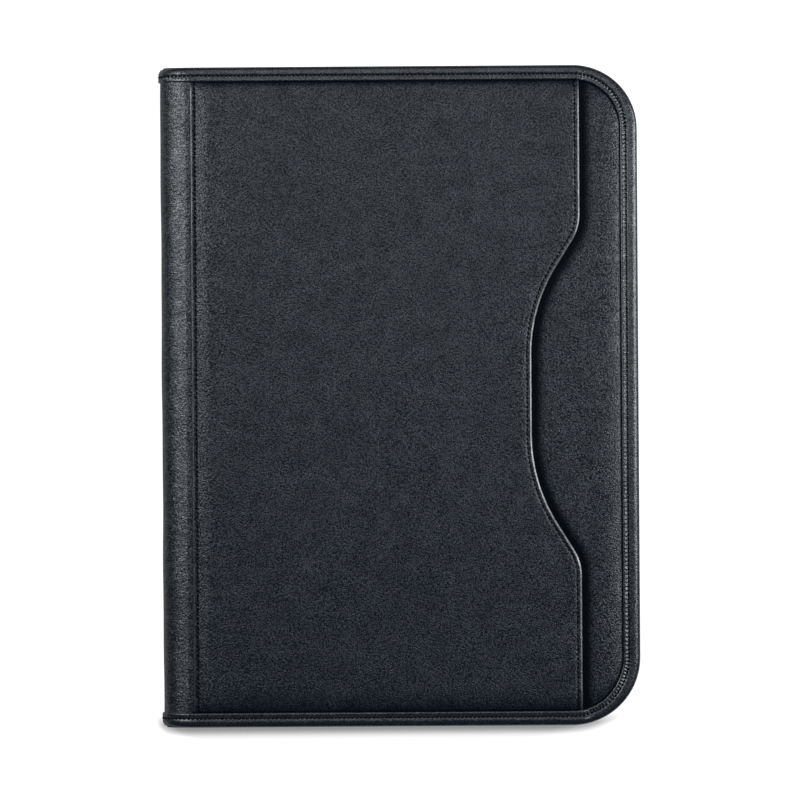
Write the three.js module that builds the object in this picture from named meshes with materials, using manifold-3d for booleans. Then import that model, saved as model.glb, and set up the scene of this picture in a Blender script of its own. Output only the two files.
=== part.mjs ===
// A4 padfolio in black leatherette, lying closed on its back cover.
//
// Frame: +Z up through the covers, +X from the spine to the opening edge,
// +Y to the top edge. The origin is on the floor, under the middle of the folio.
// Two padded covers are joined by a rolled, flexible spine. It is drawn here as
// three sections: the outer two stay with the covers, and the folio opens flat
// on the two hinge lines between them. A bound tape wraps every edge. The back
// cover holds a writing pad in a slot pocket, the front cover holds the
// organizer inside and a slash pocket outside.

import * as THREE from 'three';
import { mergeVertices } from 'three/addons/utils/BufferGeometryUtils.js';
import Module from 'manifold-3d';

const wasm = await Module();
wasm.setup();

// Driving sizes, in millimetres
const closedWidth = 239;
const closedHeight = 330;
const closedThickness = 24;
const cornerRadius = 33;

// Cover layers
const leatherThickness = 1.0;
const foamThickness = 1.7;
const boardThickness = 1.5;
const liningThickness = 0.5;
const layerGap = 0.1;
const crownRun = 12;
const crownFullness = 2.2;

// Binding tape
const tapeThickness = 0.8;
const tapeGap = 0.05;
const tapeBend = 1.6;
const tapeOuterFlange = 7.8;
const tapeInnerFlange = 7.0;
const tapeStepRun = 5;
const tapeStepAtFold = 0.5;
const tapeStepPastMouth = 2.5;

// Spine
const spineFlat = 1.3;
const spinePaddingInset = 9;
const sectionGap = 0.2;
const hingeAngle = Math.PI / 4;

// Slash pocket on the front cover
const pocketSeamOffset = 4.5;
const pocketLeather = 0.6;
const pocketHemLeather = 1.0;
const pocketHem = 7.5;
const pocketHemSlope = 1.5;
const pocketLining = 0.3;
const pocketEdgeInset = 1.0;
const pocketTaper = [0.5, 3];
const mouthInset = 28.5;
const mouthDepth = 24.5;
const mouthHalfHeight = 90;
const mouthFlatHalf = 20;
const mouthShoulderRadius = 24;
const mouthSlope = THREE.MathUtils.degToRad(32);

// Writing pad
const padWidth = 210;
const padHeight = 297;
const sheetCount = 50;
const sheetThickness = 0.1;
const padBacking = 0.8;
const padTape = 0.2;
const padTapeDepth = 20;
const padCorner = 0.8;
const padClearance = 0.3;

// Slot pocket for the pad
const slotPanelThickness = 0.9;
const slotPlateThickness = 0.6;
const slotWall = 0.8;
const slotPocketHeight = 182;
const slotThumbRadius = 16;
const innerPanelClearance = 0.3;

// Organizer inside the front cover
const documentLeather = 0.6;
const documentRise = 172;
const documentSlant = 34;
const trimWidth = 6;
const trimThickness = 0.3;
const cardPockets = 3;
const cardPocketHeight = 74;
const cardStep = 17;
const cardLeather = 0.5;
const cardCorner = 3;
const cardsBelowEdge = 9.7;
const cardsFromSpine = 7.3;
const idWidth = 84;
const idHeight = 62;
const idBorder = 6;
const idCorner = 4;
const idWindow = 0.25;
const idClearOfCards = 12;
const idFromEdge = 12.2;

// Pen loop
const penLoopBore = 4.7;
const penLoopWall = 0.7;
const penLoopWidth = 25;
const penTabLength = 17;
const penLoopAboveDocument = 7.2;

// How finely round stretches are divided
const cornerSteps = 8;
const bendSteps = 3;
const spineStep = Math.PI / 16;
const mouthSteps = 9;
const closestColumns = 0.2;

// Places that follow from the sizes above
const halfWidth = closedWidth / 2;
const halfHeight = closedHeight / 2;
const crown = foamThickness + layerGap;
const coverStack = leatherThickness + foamThickness + boardThickness + liningThickness + 3 * layerGap;
const pocketStack = layerGap + pocketHemLeather;
const backInside = coverStack;
const frontOutside = closedThickness - pocketStack;
const frontInside = frontOutside - coverStack;
const tapeBuild = tapeGap + tapeThickness;

// The spine's layers are half rings that carry on from the covers' edges
const backEdge = crown;
const frontEdge = frontOutside - crown;
const spineRadius = (frontEdge - backEdge) / 2;
const spineZ = (frontEdge + backEdge) / 2;
const spineX = -halfWidth + spineRadius + tapeBuild;
const spinePaddingRadius = spineRadius - leatherThickness - layerGap;
const spineLiningRadius = spinePaddingRadius - boardThickness - layerGap;
const spineBore = spineLiningRadius - liningThickness;

// The hinge lines clear the tape's outer face, and lie evenly about the mid
// height, so that both covers are level when the folio is open
const tapeRadius = spineRadius + tapeBuild;
const hingeX = spineX - tapeRadius * Math.sin(hingeAngle);
const hingeRise = closedThickness / 2 - spineZ + tapeRadius * Math.cos(hingeAngle);
const coverStart = spineX + sectionGap / 2;
const seamX = spineX + spineFlat;
const foldX = seamX + pocketSeamOffset;

// Offsets from the folio's outline to the crown's contour lines
const cutEdge = tapeBuild;
const crownLines = [0, 1 / 6, 3 / 8, 2 / 3, 1].map((share) => share * crownRun);
const crownHeights = crownLines.map(crownAt);

const leatherette = surface(0x31343a, 0.55);
const leatheretteDark = surface(0x24262b, 0.6);
const tapeSurface = surface(0x2c2f34, 0.5);
const padding = surface(0x5c5c58, 0.95);
const greyboard = surface(0x8a857a, 0.9);
const liningCloth = surface(0x1b1c1f, 0.9);
const paper = surface(0xf2efe4, 0.85);
const padCard = surface(0xa8a294, 0.9);
const tapeCloth = surface(0x1f2a44, 0.7);
const clearFilm = surface(0xdfe6ea, 0.15);
const elastic = surface(0x17181a, 0.9);

function surface(color, roughness) {
  return new THREE.MeshStandardMaterial({ color, roughness, metalness: 0 });
}

// Height of the padding's crown, at a distance in from the binding.
function crownAt(distance) {
  const t = THREE.MathUtils.clamp(distance / crownRun, 0, 1);
  return crown * (1 - (1 - t) ** crownFullness);
}

// A closed body from its points and triangles, turned to face outwards.
function closedBody(points, triangles) {
  let volume = 0;
  for (const [a, b, c] of triangles) {
    volume += points[a].dot(new THREE.Vector3().crossVectors(points[b], points[c]));
  }
  const faces = volume > 0 ? triangles : triangles.map(([a, b, c]) => [a, c, b]);
  const geometry = new THREE.BufferGeometry().setFromPoints(points);
  geometry.setIndex(faces.flat());
  geometry.computeVertexNormals();
  return geometry;
}

// A geometry as a solid that can be cut.
function solid(geometry) {
  const bare = geometry.clone();
  bare.deleteAttribute('normal');
  bare.deleteAttribute('uv');
  const merged = mergeVertices(bare);
  const vertProperties = merged.attributes.position.array;
  return new wasm.Manifold(new wasm.Mesh({ numProp: 3, vertProperties, triVerts: merged.index.array }));
}

// A geometry with others cut away from it.
function cut(geometry, ...tools) {
  const left = tools.reduce((kept, tool) => kept.subtract(solid(tool)), solid(geometry));
  const { vertProperties, triVerts } = left.getMesh();
  const result = new THREE.BufferGeometry();
  result.setAttribute('position', new THREE.BufferAttribute(vertProperties, 3));
  result.setIndex(new THREE.BufferAttribute(triVerts, 1));
  result.computeVertexNormals();
  return result;
}

// The triangles that fill a flat contour, wound the way that the contour runs.
function fillContour(contour) {
  const faces = THREE.ShapeUtils.triangulateShape(contour, []);
  const [a, b, c] = faces[0].map((i) => contour[i]);
  const turn = (b.x - a.x) * (c.y - a.y) - (b.y - a.y) * (c.x - a.x);
  const same = turn > 0 === THREE.ShapeUtils.area(contour) > 0;
  return same ? faces : faces.map(([p, q, r]) => [p, r, q]);
}

// A closed body through a row of rings, with the first and last one capped.
// Each ring has as many points as the flat profile that caps it.
function loft(rings, profile) {
  const count = profile.length;
  const triangles = [];
  for (let ring = 0; ring + 1 < rings.length; ring++) {
    for (let i = 0; i < count; i++) {
      const next = (i + 1) % count;
      const [a, b] = [ring * count + i, ring * count + next];
      triangles.push([a, b, b + count], [a, b + count, a + count]);
    }
  }
  const last = (rings.length - 1) * count;
  for (const [a, b, c] of fillContour(profile)) {
    triangles.push([a, c, b], [last + a, last + b, last + c]);
  }
  return closedBody(rings.flat(), triangles);
}

// The cover's outline, moved in by an offset, from the spine side round the
// two rounded corners. It has the same number of points at every offset.
function coverOutline(offset, left) {
  const radius = cornerRadius - offset;
  const right = halfWidth - cornerRadius;
  const end = halfHeight - cornerRadius;
  const outline = [new THREE.Vector2(left, -end - radius)];
  for (const side of [-1, 1]) {
    for (let i = 0; i <= cornerSteps; i++) {
      const angle = (Math.PI / 2) * (side < 0 ? i / cornerSteps - 1 : i / cornerSteps);
      const x = right + radius * Math.cos(angle);
      outline.push(new THREE.Vector2(x, side * end + radius * Math.sin(angle)));
    }
  }
  outline.push(new THREE.Vector2(left, end + radius));
  return outline;
}

// A layer of a padded cover: nested outlines with an upper and lower height
// each, joined by a wall at the rim and closed by a flat field.
function crownedLayer(contours) {
  const count = contours[0].outline.length;
  const points = [];
  for (const { outline, upper, lower } of contours) {
    points.push(...outline.map((p) => new THREE.Vector3(p.x, p.y, upper)));
    points.push(...outline.map((p) => new THREE.Vector3(p.x, p.y, lower)));
  }
  const triangles = [];
  for (let i = 0; i < count; i++) {
    const next = (i + 1) % count;
    triangles.push([i, i + count, next + count], [i, next + count, next]);
    for (let ring = 0; ring + 1 < contours.length; ring++) {
      const [a, b] = [2 * ring * count + i, 2 * ring * count + next];
      const [c, d] = [a + 2 * count, b + 2 * count];
      triangles.push([a, b, d], [a, d, c]);
      triangles.push([a + count, d + count, b + count], [a + count, c + count, d + count]);
    }
  }
  const field = 2 * (contours.length - 1) * count;
  const inner = contours.at(-1).outline;
  for (const [a, b, c] of fillContour(inner)) {
    triangles.push([field + a, field + b, field + c]);
    triangles.push([field + count + a, field + count + c, field + count + b]);
  }
  return closedBody(points, triangles);
}

// Contour lines of a cover layer, whose crown rises from a seam along the
// spine. Heights are given over the crown.
function contourLines(seam, heights, { rim = false, from = 0 } = {}) {
  const contours = [];
  if (rim) {
    contours.push({ outline: coverOutline(cutEdge, coverStart), ...heights(0) });
  }
  for (let i = from; i < crownLines.length; i++) {
    const outline = coverOutline(tapeOuterFlange + crownLines[i], seam + crownLines[i]);
    contours.push({ outline, ...heights(crownHeights[i]) });
  }
  return contours;
}

// A flat plate with the given outline between two heights.
function plate(outline, low, high) {
  const shape = Array.isArray(outline) ? new THREE.Shape(outline) : outline;
  const geometry = new THREE.ExtrudeGeometry(shape, {
    depth: high - low,
    bevelEnabled: false,
    curveSegments: 6,
  });
  return geometry.translate(0, 0, low);
}

// A rectangle with rounded corners, as a shape.
function roundedRectangle(left, bottom, right, top, radius) {
  const shape = new THREE.Shape();
  shape.moveTo(left + radius, bottom);
  shape.lineTo(right - radius, bottom);
  shape.absarc(right - radius, bottom + radius, radius, -Math.PI / 2, 0);
  shape.lineTo(right, top - radius);
  shape.absarc(right - radius, top - radius, radius, 0, Math.PI / 2);
  shape.lineTo(left + radius, top);
  shape.absarc(left + radius, top - radius, radius, Math.PI / 2, Math.PI);
  shape.lineTo(left, bottom + radius);
  shape.absarc(left + radius, bottom + radius, radius, Math.PI, 1.5 * Math.PI);
  return shape;
}

// The tape's section, folded round an edge: x runs in from the folio's
// outline and y across the layers, from the slot's low side to its high side.
function tapeSection(slotLow, slotHigh) {
  const [low, high] = [slotLow - tapeThickness, slotHigh + tapeThickness];
  const section = [new THREE.Vector2(tapeInnerFlange, low)];
  for (const [centre, start] of [[low + tapeBend, -Math.PI / 2], [high - tapeBend, Math.PI]]) {
    for (let i = 0; i <= bendSteps; i++) {
      const angle = start - (Math.PI / 2) * (i / bendSteps);
      const x = tapeBend + tapeBend * Math.cos(angle);
      section.push(new THREE.Vector2(x, centre + tapeBend * Math.sin(angle)));
    }
  }
  section.push(new THREE.Vector2(tapeOuterFlange, high));
  section.push(new THREE.Vector2(tapeOuterFlange, slotHigh));
  section.push(new THREE.Vector2(tapeThickness, slotHigh));
  section.push(new THREE.Vector2(tapeThickness, slotLow));
  section.push(new THREE.Vector2(tapeInnerFlange, slotLow));
  return section;
}

// The folio's outer edge as stations with an inward direction, along the top,
// the opening edge and the bottom. Extra stations lie on the two long runs.
function edgeStations(extra) {
  const right = halfWidth - cornerRadius;
  const end = halfHeight - cornerRadius;
  const stations = [];
  for (const side of [1, -1]) {
    const run = [coverStart, ...extra].map((x) => ({
      at: new THREE.Vector2(x, side * halfHeight),
      inward: new THREE.Vector2(0, -side),
    }));
    const corner = [];
    for (let i = 0; i <= cornerSteps; i++) {
      const angle = side * (Math.PI / 2) * (1 - i / cornerSteps);
      const out = new THREE.Vector2(Math.cos(angle), Math.sin(angle));
      const at = new THREE.Vector2(right, side * end).addScaledVector(out, cornerRadius);
      corner.push({ at, inward: out.clone().negate() });
    }
    const half = [...run, ...corner];
    stations.push(...(side > 0 ? half : half.reverse()));
  }
  return stations;
}

// The binding of a cover. `section` gives the tape's section at a station.
function coverBinding(section, extra, toHeight) {
  const rings = edgeStations(extra).map(({ at, inward }) =>
    section(at.x).map((p) => {
      const place = at.clone().addScaledVector(inward, p.x);
      return new THREE.Vector3(place.x, place.y, toHeight(p.y));
    }),
  );
  return loft(rings, section(0));
}

// A point of the spine, from its radius and its angle up from the back cover.
function spinePoint(radius, angle, y) {
  return new THREE.Vector3(spineX - radius * Math.sin(angle), y, spineZ - radius * Math.cos(angle));
}

// The angles across one section of the spine, short of its ends by half a gap.
function sectionAngles({ from, to }) {
  const margin = sectionGap / 2 / spineBore;
  const steps = Math.round((to - from) / spineStep);
  return Array.from({ length: steps + 1 }, (_, i) =>
    from + margin + ((to - from - 2 * margin) * i) / steps,
  );
}

// A layer of the spine across one section.
function spineLayer(section, inner, outer, halfLength) {
  const profile = [[inner, -1], [outer, -1], [outer, 1], [inner, 1]]
    .map(([r, side]) => new THREE.Vector2(r, side * halfLength));
  const rings = sectionAngles(section).map((angle) =>
    profile.map((p) => spinePoint(p.x, angle, p.y)),
  );
  return loft(rings, profile);
}

// The tape over one end of a section.
function spineBinding(section, side) {
  const slotLow = spineBore - tapeGap;
  const profile = tapeSection(slotLow, spineRadius + tapeGap);
  const rings = sectionAngles(section).map((angle) =>
    profile.map((p) => spinePoint(p.y, angle, side * (halfHeight - p.x))),
  );
  return loft(rings, profile);
}

// Where the slash pocket's mouth lies, from the height along the edge: a
// convex shoulder, a short straight and a long hollow, tangent to each other.
function mouthX(y) {
  const [sine, cosine] = [Math.sin(mouthSlope), Math.cos(mouthSlope)];
  const rise = mouthHalfHeight - mouthFlatHalf;
  const straight = (mouthDepth * sine - rise * (1 - cosine)) / (sine ** 2 - cosine * (1 - cosine));
  const hollowRadius = (rise - straight * cosine) / sine - mouthShoulderRadius;
  const edge = halfWidth - mouthInset;
  const along = mouthHalfHeight - Math.abs(y);
  const left = rise - along;
  if (along <= 0) {
    return edge;
  }
  if (left <= 0) {
    return edge - mouthDepth;
  }
  if (along < mouthShoulderRadius * sine) {
    return edge - mouthShoulderRadius + Math.sqrt(mouthShoulderRadius ** 2 - along ** 2);
  }
  if (left < hollowRadius * sine) {
    return edge - mouthDepth + hollowRadius - Math.sqrt(hollowRadius ** 2 - left ** 2);
  }
  const shoulder = mouthShoulderRadius * (1 - cosine);
  return edge - shoulder - ((along - mouthShoulderRadius * sine) * sine) / cosine;
}

// Distance in from the front cover's binding, or from its fold line, to a point.
function distanceInside(x, y) {
  const radius = cornerRadius - tapeOuterFlange;
  const dx = halfWidth - tapeOuterFlange - x;
  const dy = halfHeight - tapeOuterFlange - Math.abs(y);
  const corner = dx < radius && dy < radius;
  const rim = corner ? radius - Math.hypot(radius - dx, radius - dy) : Math.min(dx, dy);
  return Math.min(rim, x - foldX);
}

// A sheet on a grid of rows, closed by walls round its edge. Each square is
// split along the diagonal that stands higher, so a ridge stays a ridge.
function gridSheet(rows, columnsAt, upper, lower) {
  const columns = columnsAt(rows[0]).length;
  const places = rows.flatMap((y) => columnsAt(y).map((x) => [x, y]));
  const points = [upper, lower].flatMap((height) =>
    places.map(([x, y]) => new THREE.Vector3(x, y, height(x, y))),
  );
  const under = places.length;
  const triangles = [];
  for (let row = 0; row + 1 < rows.length; row++) {
    for (let column = 0; column + 1 < columns; column++) {
      const a = row * columns + column;
      const [b, c, d] = [a + 1, a + columns + 1, a + columns];
      const alongAC = points[a].z + points[c].z >= points[b].z + points[d].z;
      const halves = alongAC ? [[a, b, c], [a, c, d]] : [[a, b, d], [b, c, d]];
      for (const [p, q, r] of halves) {
        triangles.push([p, q, r], [under + p, under + r, under + q]);
      }
    }
  }
  const rim = [];
  for (let column = 0; column + 1 < columns; column++) {
    rim.push(column);
  }
  for (let row = 0; row + 1 < rows.length; row++) {
    rim.push(row * columns + columns - 1);
  }
  for (let column = columns - 1; column > 0; column--) {
    rim.push((rows.length - 1) * columns + column);
  }
  for (let row = rows.length - 1; row > 0; row--) {
    rim.push(row * columns);
  }
  rim.forEach((from, i) => {
    const to = rim[(i + 1) % rim.length];
    triangles.push([from, under + from, under + to], [from, under + to, to]);
  });
  return closedBody(points, triangles);
}

// Rows for the slash pocket, evenly spaced on its curves and close together
// where it meets the crown. `inset` is how far in from the binding it starts.
function pocketRows(inset) {
  const binding = halfHeight - tapeOuterFlange;
  const crownRows = [...crownLines, ...pocketTaper].sort((a, b) => a - b).filter((d) => d > inset);
  const ends = [inset, ...crownRows].map((d) => binding - d);
  const curve = [];
  for (let i = 0; i <= mouthSteps; i++) {
    curve.push(mouthFlatHalf + ((mouthHalfHeight - mouthFlatHalf) * (mouthSteps - i)) / mouthSteps);
  }
  const half = [...ends, ...curve];
  return [...half, ...half.map((y) => -y).reverse()];
}

// Heights of the base leather's outer face, and of the slash pocket over it
const baseTop = (x, y) => frontEdge + crownAt(distanceInside(x, y));
const blend = (value, from, to) => THREE.MathUtils.clamp((value - from) / (to - from), 0, 1);

// Columns that follow the crown at the spine side and the mouth at the other.
function pocketColumns(left, hemLines) {
  const crownColumns = crownLines.map((d) => foldX + d).filter((x) => x > left + closestColumns);
  const start = left === foldX ? [foldX + pocketHem, foldX + pocketHem + pocketHemSlope] : [];
  const columns = [left, ...crownColumns, ...start].sort((a, b) => a - b);
  const spaced = columns.filter((x, i) => i === 0 || x - columns[i - 1] > closestColumns);
  return (y) => [...spaced, ...hemLines.map((d) => mouthX(y) - d)];
}

function frontPocketPanel() {
  const hemEnd = pocketHem + pocketHemSlope;
  const relief = pocketHemLeather - pocketLeather;
  const lift = (x, y) => {
    const fromFold = blend(x - foldX, pocketHem, hemEnd);
    const fromMouth = blend(mouthX(y) - x, pocketHem, hemEnd);
    const fromBinding = blend(distanceInside(0, y), pocketTaper[1], crownLines[2]);
    return relief * Math.min(fromFold, fromMouth, fromBinding);
  };
  const full = (x, y) => pocketLeather + relief * blend(distanceInside(0, y), ...pocketTaper);
  const bottom = (x, y) => baseTop(x, y) + layerGap;
  return gridSheet(
    pocketRows(cutEdge + pocketEdgeInset - tapeOuterFlange),
    pocketColumns(foldX, [hemEnd, pocketHem, 0]),
    (x, y) => bottom(x, y) + full(x, y),
    (x, y) => bottom(x, y) + lift(x, y),
  );
}

function frontPocketLining() {
  const hemEnd = pocketHem + pocketHemSlope;
  return gridSheet(
    pocketRows(crownLines[3]),
    pocketColumns(foldX + hemEnd + layerGap, [hemEnd + layerGap]),
    (x, y) => baseTop(x, y) + layerGap / 2 + pocketLining,
    (x, y) => baseTop(x, y) + layerGap / 2,
  );
}

// The outer cover of one side, crowned over its foam.
function coverLeather(seam, edge, outward) {
  return crownedLayer(contourLines(seam, (rise) => {
    const outer = edge + outward * rise;
    return { upper: outer, lower: outer - outward * leatherThickness };
  }, { rim: true }));
}

// The foam under the leather, from the crown's second contour line in.
function coverFoam(seam, edge, outward) {
  const face = leatherThickness + layerGap;
  return crownedLayer(contourLines(seam, (rise) => ({
    upper: edge + outward * (rise - face),
    lower: edge - outward * (face - layerGap),
  }), { from: 1 }));
}

// A flat layer of the cover, up to the binding's bend.
function coverPlate(low, thickness) {
  return plate(coverOutline(cutEdge, coverStart), low, low + thickness);
}

function backBinding() {
  const section = () => tapeSection(backEdge - tapeGap, backInside + tapeGap);
  const swap = backEdge + backInside;
  return coverBinding(() => section().map((p) => new THREE.Vector2(p.x, p.y)), [], (z) => swap - z);
}

// The front binding steps up over the slash pocket and down again beyond it.
function frontBinding() {
  const pocketEdge = layerGap + pocketLeather;
  const mouthEnd = halfWidth - mouthInset + tapeStepPastMouth;
  const foldEnd = foldX - tapeStepAtFold;
  const section = (x) => {
    const over = blend(x, foldX - tapeStepRun, foldEnd);
    const past = blend(x, mouthEnd, mouthEnd + tapeStepRun);
    const step = pocketEdge * (over - past);
    return tapeSection(frontInside - tapeGap, frontEdge + tapeGap + step);
  };
  return coverBinding(section, [foldX - tapeStepRun, foldEnd], (z) => z);
}

// The inside of a cover, clear of the binding's inner flange.
const insideRight = halfWidth - tapeInnerFlange - innerPanelClearance;
const insideTop = halfHeight - tapeInnerFlange - innerPanelClearance;
const penLoopRadius = penLoopBore + penLoopWall;

// The pad lies against the slot pocket's bottom and side walls
const slotPanelTop = backInside + layerGap + slotPanelThickness;
const padBottom = -insideTop + slotWall + padClearance;
const padLeft = spineX + penLoopRadius + slotWall + 2 * padClearance;
const padRight = padLeft + padWidth;
const padTop = padBottom + padHeight;
const backingLow = slotPanelTop + layerGap;
const backingHigh = backingLow + padBacking;
const slotPlateHigh = backingHigh + layerGap + slotPlateThickness;
const paperLow = slotPlateHigh + layerGap;
const paperHigh = paperLow + sheetCount * sheetThickness;
const panelLeft = padLeft - padClearance - slotWall;

// The cover's inner outline, inside the binding's flange.
function innerOutline(left) {
  return coverOutline(tapeInnerFlange + innerPanelClearance, left);
}

// The panel that the pad slides on.
function padPanel() {
  return plate(innerOutline(panelLeft), backInside + layerGap, slotPanelTop);
}

// The pocket that the pad's card slides into: a front plate with a thumb
// notch, on walls along its bottom and both sides, open at the top.
function padPocket() {
  const [left, right] = [padLeft - padClearance, padRight + padClearance];
  const bottom = padBottom - padClearance;
  const top = -insideTop + slotPocketHeight;
  const low = slotPanelTop + tapeGap;
  const roof = backingHigh + layerGap;
  const past = slotWall;
  const sleeve = block([left - slotWall, bottom - slotWall, low], [right + slotWall, top, slotPlateHigh]);
  const slot = block([left, bottom, low - past], [right, top + past, roof]);
  const notch = new THREE.CylinderGeometry(slotThumbRadius, slotThumbRadius, slotPlateHigh, 24);
  notch.rotateX(Math.PI / 2).translate((left + right) / 2, top, slotPlateHigh);
  return cut(sleeve, slot, notch);
}

// A box between two corners.
function block(low, high) {
  const [from, to] = [new THREE.Vector3(...low), new THREE.Vector3(...high)];
  const size = to.clone().sub(from);
  const middle = from.add(to).multiplyScalar(0.5);
  return new THREE.BoxGeometry(...size).translate(...middle);
}

function padShape() {
  return roundedRectangle(padLeft, padBottom, padRight, padTop, padCorner);
}

function padBackingCard() {
  return plate(padShape(), backingLow, backingHigh);
}

function padPaper() {
  return plate(padShape(), paperLow, paperHigh);
}

// The tape over the pad's glued head, down its end to the backing card.
function padHeader() {
  const face = paperHigh + tapeGap;
  const end = padTop + tapeGap;
  const section = [
    [padTop - padTapeDepth, face], [end, face], [end, backingLow],
    [end + padTape, backingLow], [end + padTape, face + padTape], [padTop - padTapeDepth, face + padTape],
  ].map(([y, z]) => new THREE.Vector2(y, z));
  const rings = [padLeft, padRight].map((x) => section.map((p) => new THREE.Vector3(x, p.x, p.y)));
  return loft(rings, section);
}

// Organizer layers are counted down from the front cover's lining
const organizerTop = frontInside - layerGap;
const documentLow = organizerTop - documentLeather;
const organizerLeft = panelLeft;
const documentEdgeLeft = -insideTop + documentRise - documentSlant;
const documentEdgeRight = -insideTop + documentRise;
const cardsLeft = organizerLeft + cardsFromSpine;
const cardsTop = insideTop - cardsBelowEdge;
const idLeft = insideRight - idFromEdge - idWidth;
const cardsRight = idLeft - idClearOfCards;

// The large pocket over the lower half, with a slanted mouth.
function documentPocket() {
  const outline = innerOutline(organizerLeft).filter((p) => p.y < 0);
  outline.push(new THREE.Vector2(insideRight, documentEdgeRight));
  outline.push(new THREE.Vector2(organizerLeft, documentEdgeLeft));
  return plate(outline, documentLow, organizerTop);
}

// The turned strip along that pocket's mouth.
function documentTrim() {
  const outline = [
    [organizerLeft, documentEdgeLeft - trimWidth], [insideRight, documentEdgeRight - trimWidth],
    [insideRight, documentEdgeRight], [organizerLeft, documentEdgeLeft],
  ].map(([x, y]) => new THREE.Vector2(x, y));
  const high = documentLow - layerGap;
  return plate(outline, high - trimThickness, high);
}

// One of the stepped card pockets; the first lies against the lining.
function cardPocket(index) {
  const high = organizerTop - index * (cardLeather + layerGap);
  const top = cardsTop - index * cardStep;
  const bottom = cardsTop - cardPocketHeight - (cardPockets - 1) * cardStep;
  const [left, right] = [cardsLeft + index, cardsRight - index];
  return plate(roundedRectangle(left, bottom, right, top, cardCorner), high - cardLeather, high);
}

// The identity pocket: a clear film, framed by a border that is sewn over it.
function idShape(inset) {
  const top = cardsTop - cardStep;
  return roundedRectangle(
    idLeft + inset, top - idHeight + inset, idLeft + idWidth - inset, top - inset, idCorner,
  );
}

function idWindowFilm() {
  return plate(idShape(idBorder / 2), organizerTop - idWindow, organizerTop);
}

function idPocketFrame() {
  const shape = idShape(0);
  shape.holes.push(idShape(idBorder));
  const high = organizerTop - idWindow - layerGap;
  return plate(shape, high - documentLeather, high);
}

// The elastic pen loop, with its tab running up to the front cover's lining.
function penLoop() {
  const tabHigh = organizerTop - spineZ;
  const tabLow = tabHigh - penLoopWall;
  const tabStart = penLoopRadius + padClearance;
  const join = Math.PI / 4;
  const shape = new THREE.Shape();
  shape.moveTo(0, penLoopRadius);
  shape.absarc(0, 0, penLoopRadius, Math.PI / 2, 2 * Math.PI + join, false);
  shape.lineTo(tabStart, tabLow);
  shape.lineTo(penTabLength, tabLow);
  shape.lineTo(penTabLength, tabHigh);
  shape.lineTo(tabStart, tabHigh);
  shape.closePath();
  const bore = new THREE.Path();
  bore.absarc(0, 0, penLoopBore, 0, 2 * Math.PI, true);
  shape.holes.push(bore);
  const geometry = new THREE.ExtrudeGeometry(shape, {
    depth: penLoopWidth,
    bevelEnabled: false,
    curveSegments: 20,
  });
  const high = documentEdgeLeft + penLoopAboveDocument + penLoopWidth;
  return geometry.rotateX(Math.PI / 2).translate(spineX, high, spineZ);
}

// A body of the folio. Its group sits on the hinge line that it turns about,
// inside the group of the body that carries it.
function body(parent, pivot) {
  const group = new THREE.Group();
  group.userData.pivot = pivot;
  group.position.copy(pivot).sub(parent.userData.pivot ?? new THREE.Vector3());
  parent.add(group);
  return group;
}

function addPiece(group, name, geometry, material) {
  const mesh = new THREE.Mesh(geometry, material);
  mesh.name = name;
  mesh.position.copy(group.userData.pivot).negate();
  group.add(mesh);
}

// The spine's lower hinge line, at side -1, and its upper one, at side 1.
// Turning both groups by minus a quarter turn about +Y opens the folio.
function hingeLine(side) {
  return new THREE.Vector3(hingeX, 0, closedThickness / 2 + side * hingeRise);
}

function addBackCover(group) {
  const boardLow = backInside - liningThickness - layerGap - boardThickness;
  addPiece(group, 'back_leather', coverLeather(seamX, backEdge, -1), leatherette);
  addPiece(group, 'back_foam', coverFoam(seamX, backEdge, -1), padding);
  addPiece(group, 'back_board', coverPlate(boardLow, boardThickness), greyboard);
  addPiece(group, 'back_lining', coverPlate(backInside - liningThickness, liningThickness), liningCloth);
  addPiece(group, 'back_binding', backBinding(), tapeSurface);
  addPiece(group, 'pad_panel', padPanel(), leatheretteDark);
  addPiece(group, 'pad_pocket', padPocket(), leatheretteDark);
  addSpineSection(group, 'back', 0, hingeAngle);
}

function addSpineSection(group, name, from, to) {
  const section = { from, to };
  const leatherEnd = halfHeight - cutEdge;
  const paddingEnd = halfHeight - spinePaddingInset;
  const leather = spineLayer(section, spineRadius - leatherThickness, spineRadius, leatherEnd);
  const cushion = spineLayer(section, spineLiningRadius + layerGap, spinePaddingRadius, paddingEnd);
  const lining = spineLayer(section, spineBore, spineLiningRadius, leatherEnd);
  addPiece(group, `spine_leather_${name}`, leather, leatherette);
  addPiece(group, `spine_padding_${name}`, cushion, padding);
  addPiece(group, `spine_lining_${name}`, lining, liningCloth);
  addPiece(group, `spine_binding_top_${name}`, spineBinding(section, 1), tapeSurface);
  addPiece(group, `spine_binding_bottom_${name}`, spineBinding(section, -1), tapeSurface);
}

function addFrontCover(group) {
  const boardLow = frontInside + liningThickness + layerGap;
  addPiece(group, 'front_leather', coverLeather(foldX, frontEdge, 1), leatherette);
  addPiece(group, 'front_pocket_panel', frontPocketPanel(), leatherette);
  addPiece(group, 'front_pocket_lining', frontPocketLining(), liningCloth);
  addPiece(group, 'front_foam', coverFoam(foldX, frontEdge, 1), padding);
  addPiece(group, 'front_board', coverPlate(boardLow, boardThickness), greyboard);
  addPiece(group, 'front_lining', coverPlate(frontInside, liningThickness), liningCloth);
  addPiece(group, 'front_binding', frontBinding(), tapeSurface);
  addPiece(group, 'document_pocket', documentPocket(), leatheretteDark);
  addPiece(group, 'document_pocket_trim', documentTrim(), leatherette);
  for (let i = 0; i < cardPockets; i++) {
    addPiece(group, `card_pocket_${i + 1}`, cardPocket(i), leatheretteDark);
  }
  addPiece(group, 'id_pocket_frame', idPocketFrame(), leatheretteDark);
  addPiece(group, 'id_window', idWindowFilm(), clearFilm);
  addPiece(group, 'pen_loop', penLoop(), elastic);
  addSpineSection(group, 'front', Math.PI - hingeAngle, Math.PI);
}

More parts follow.
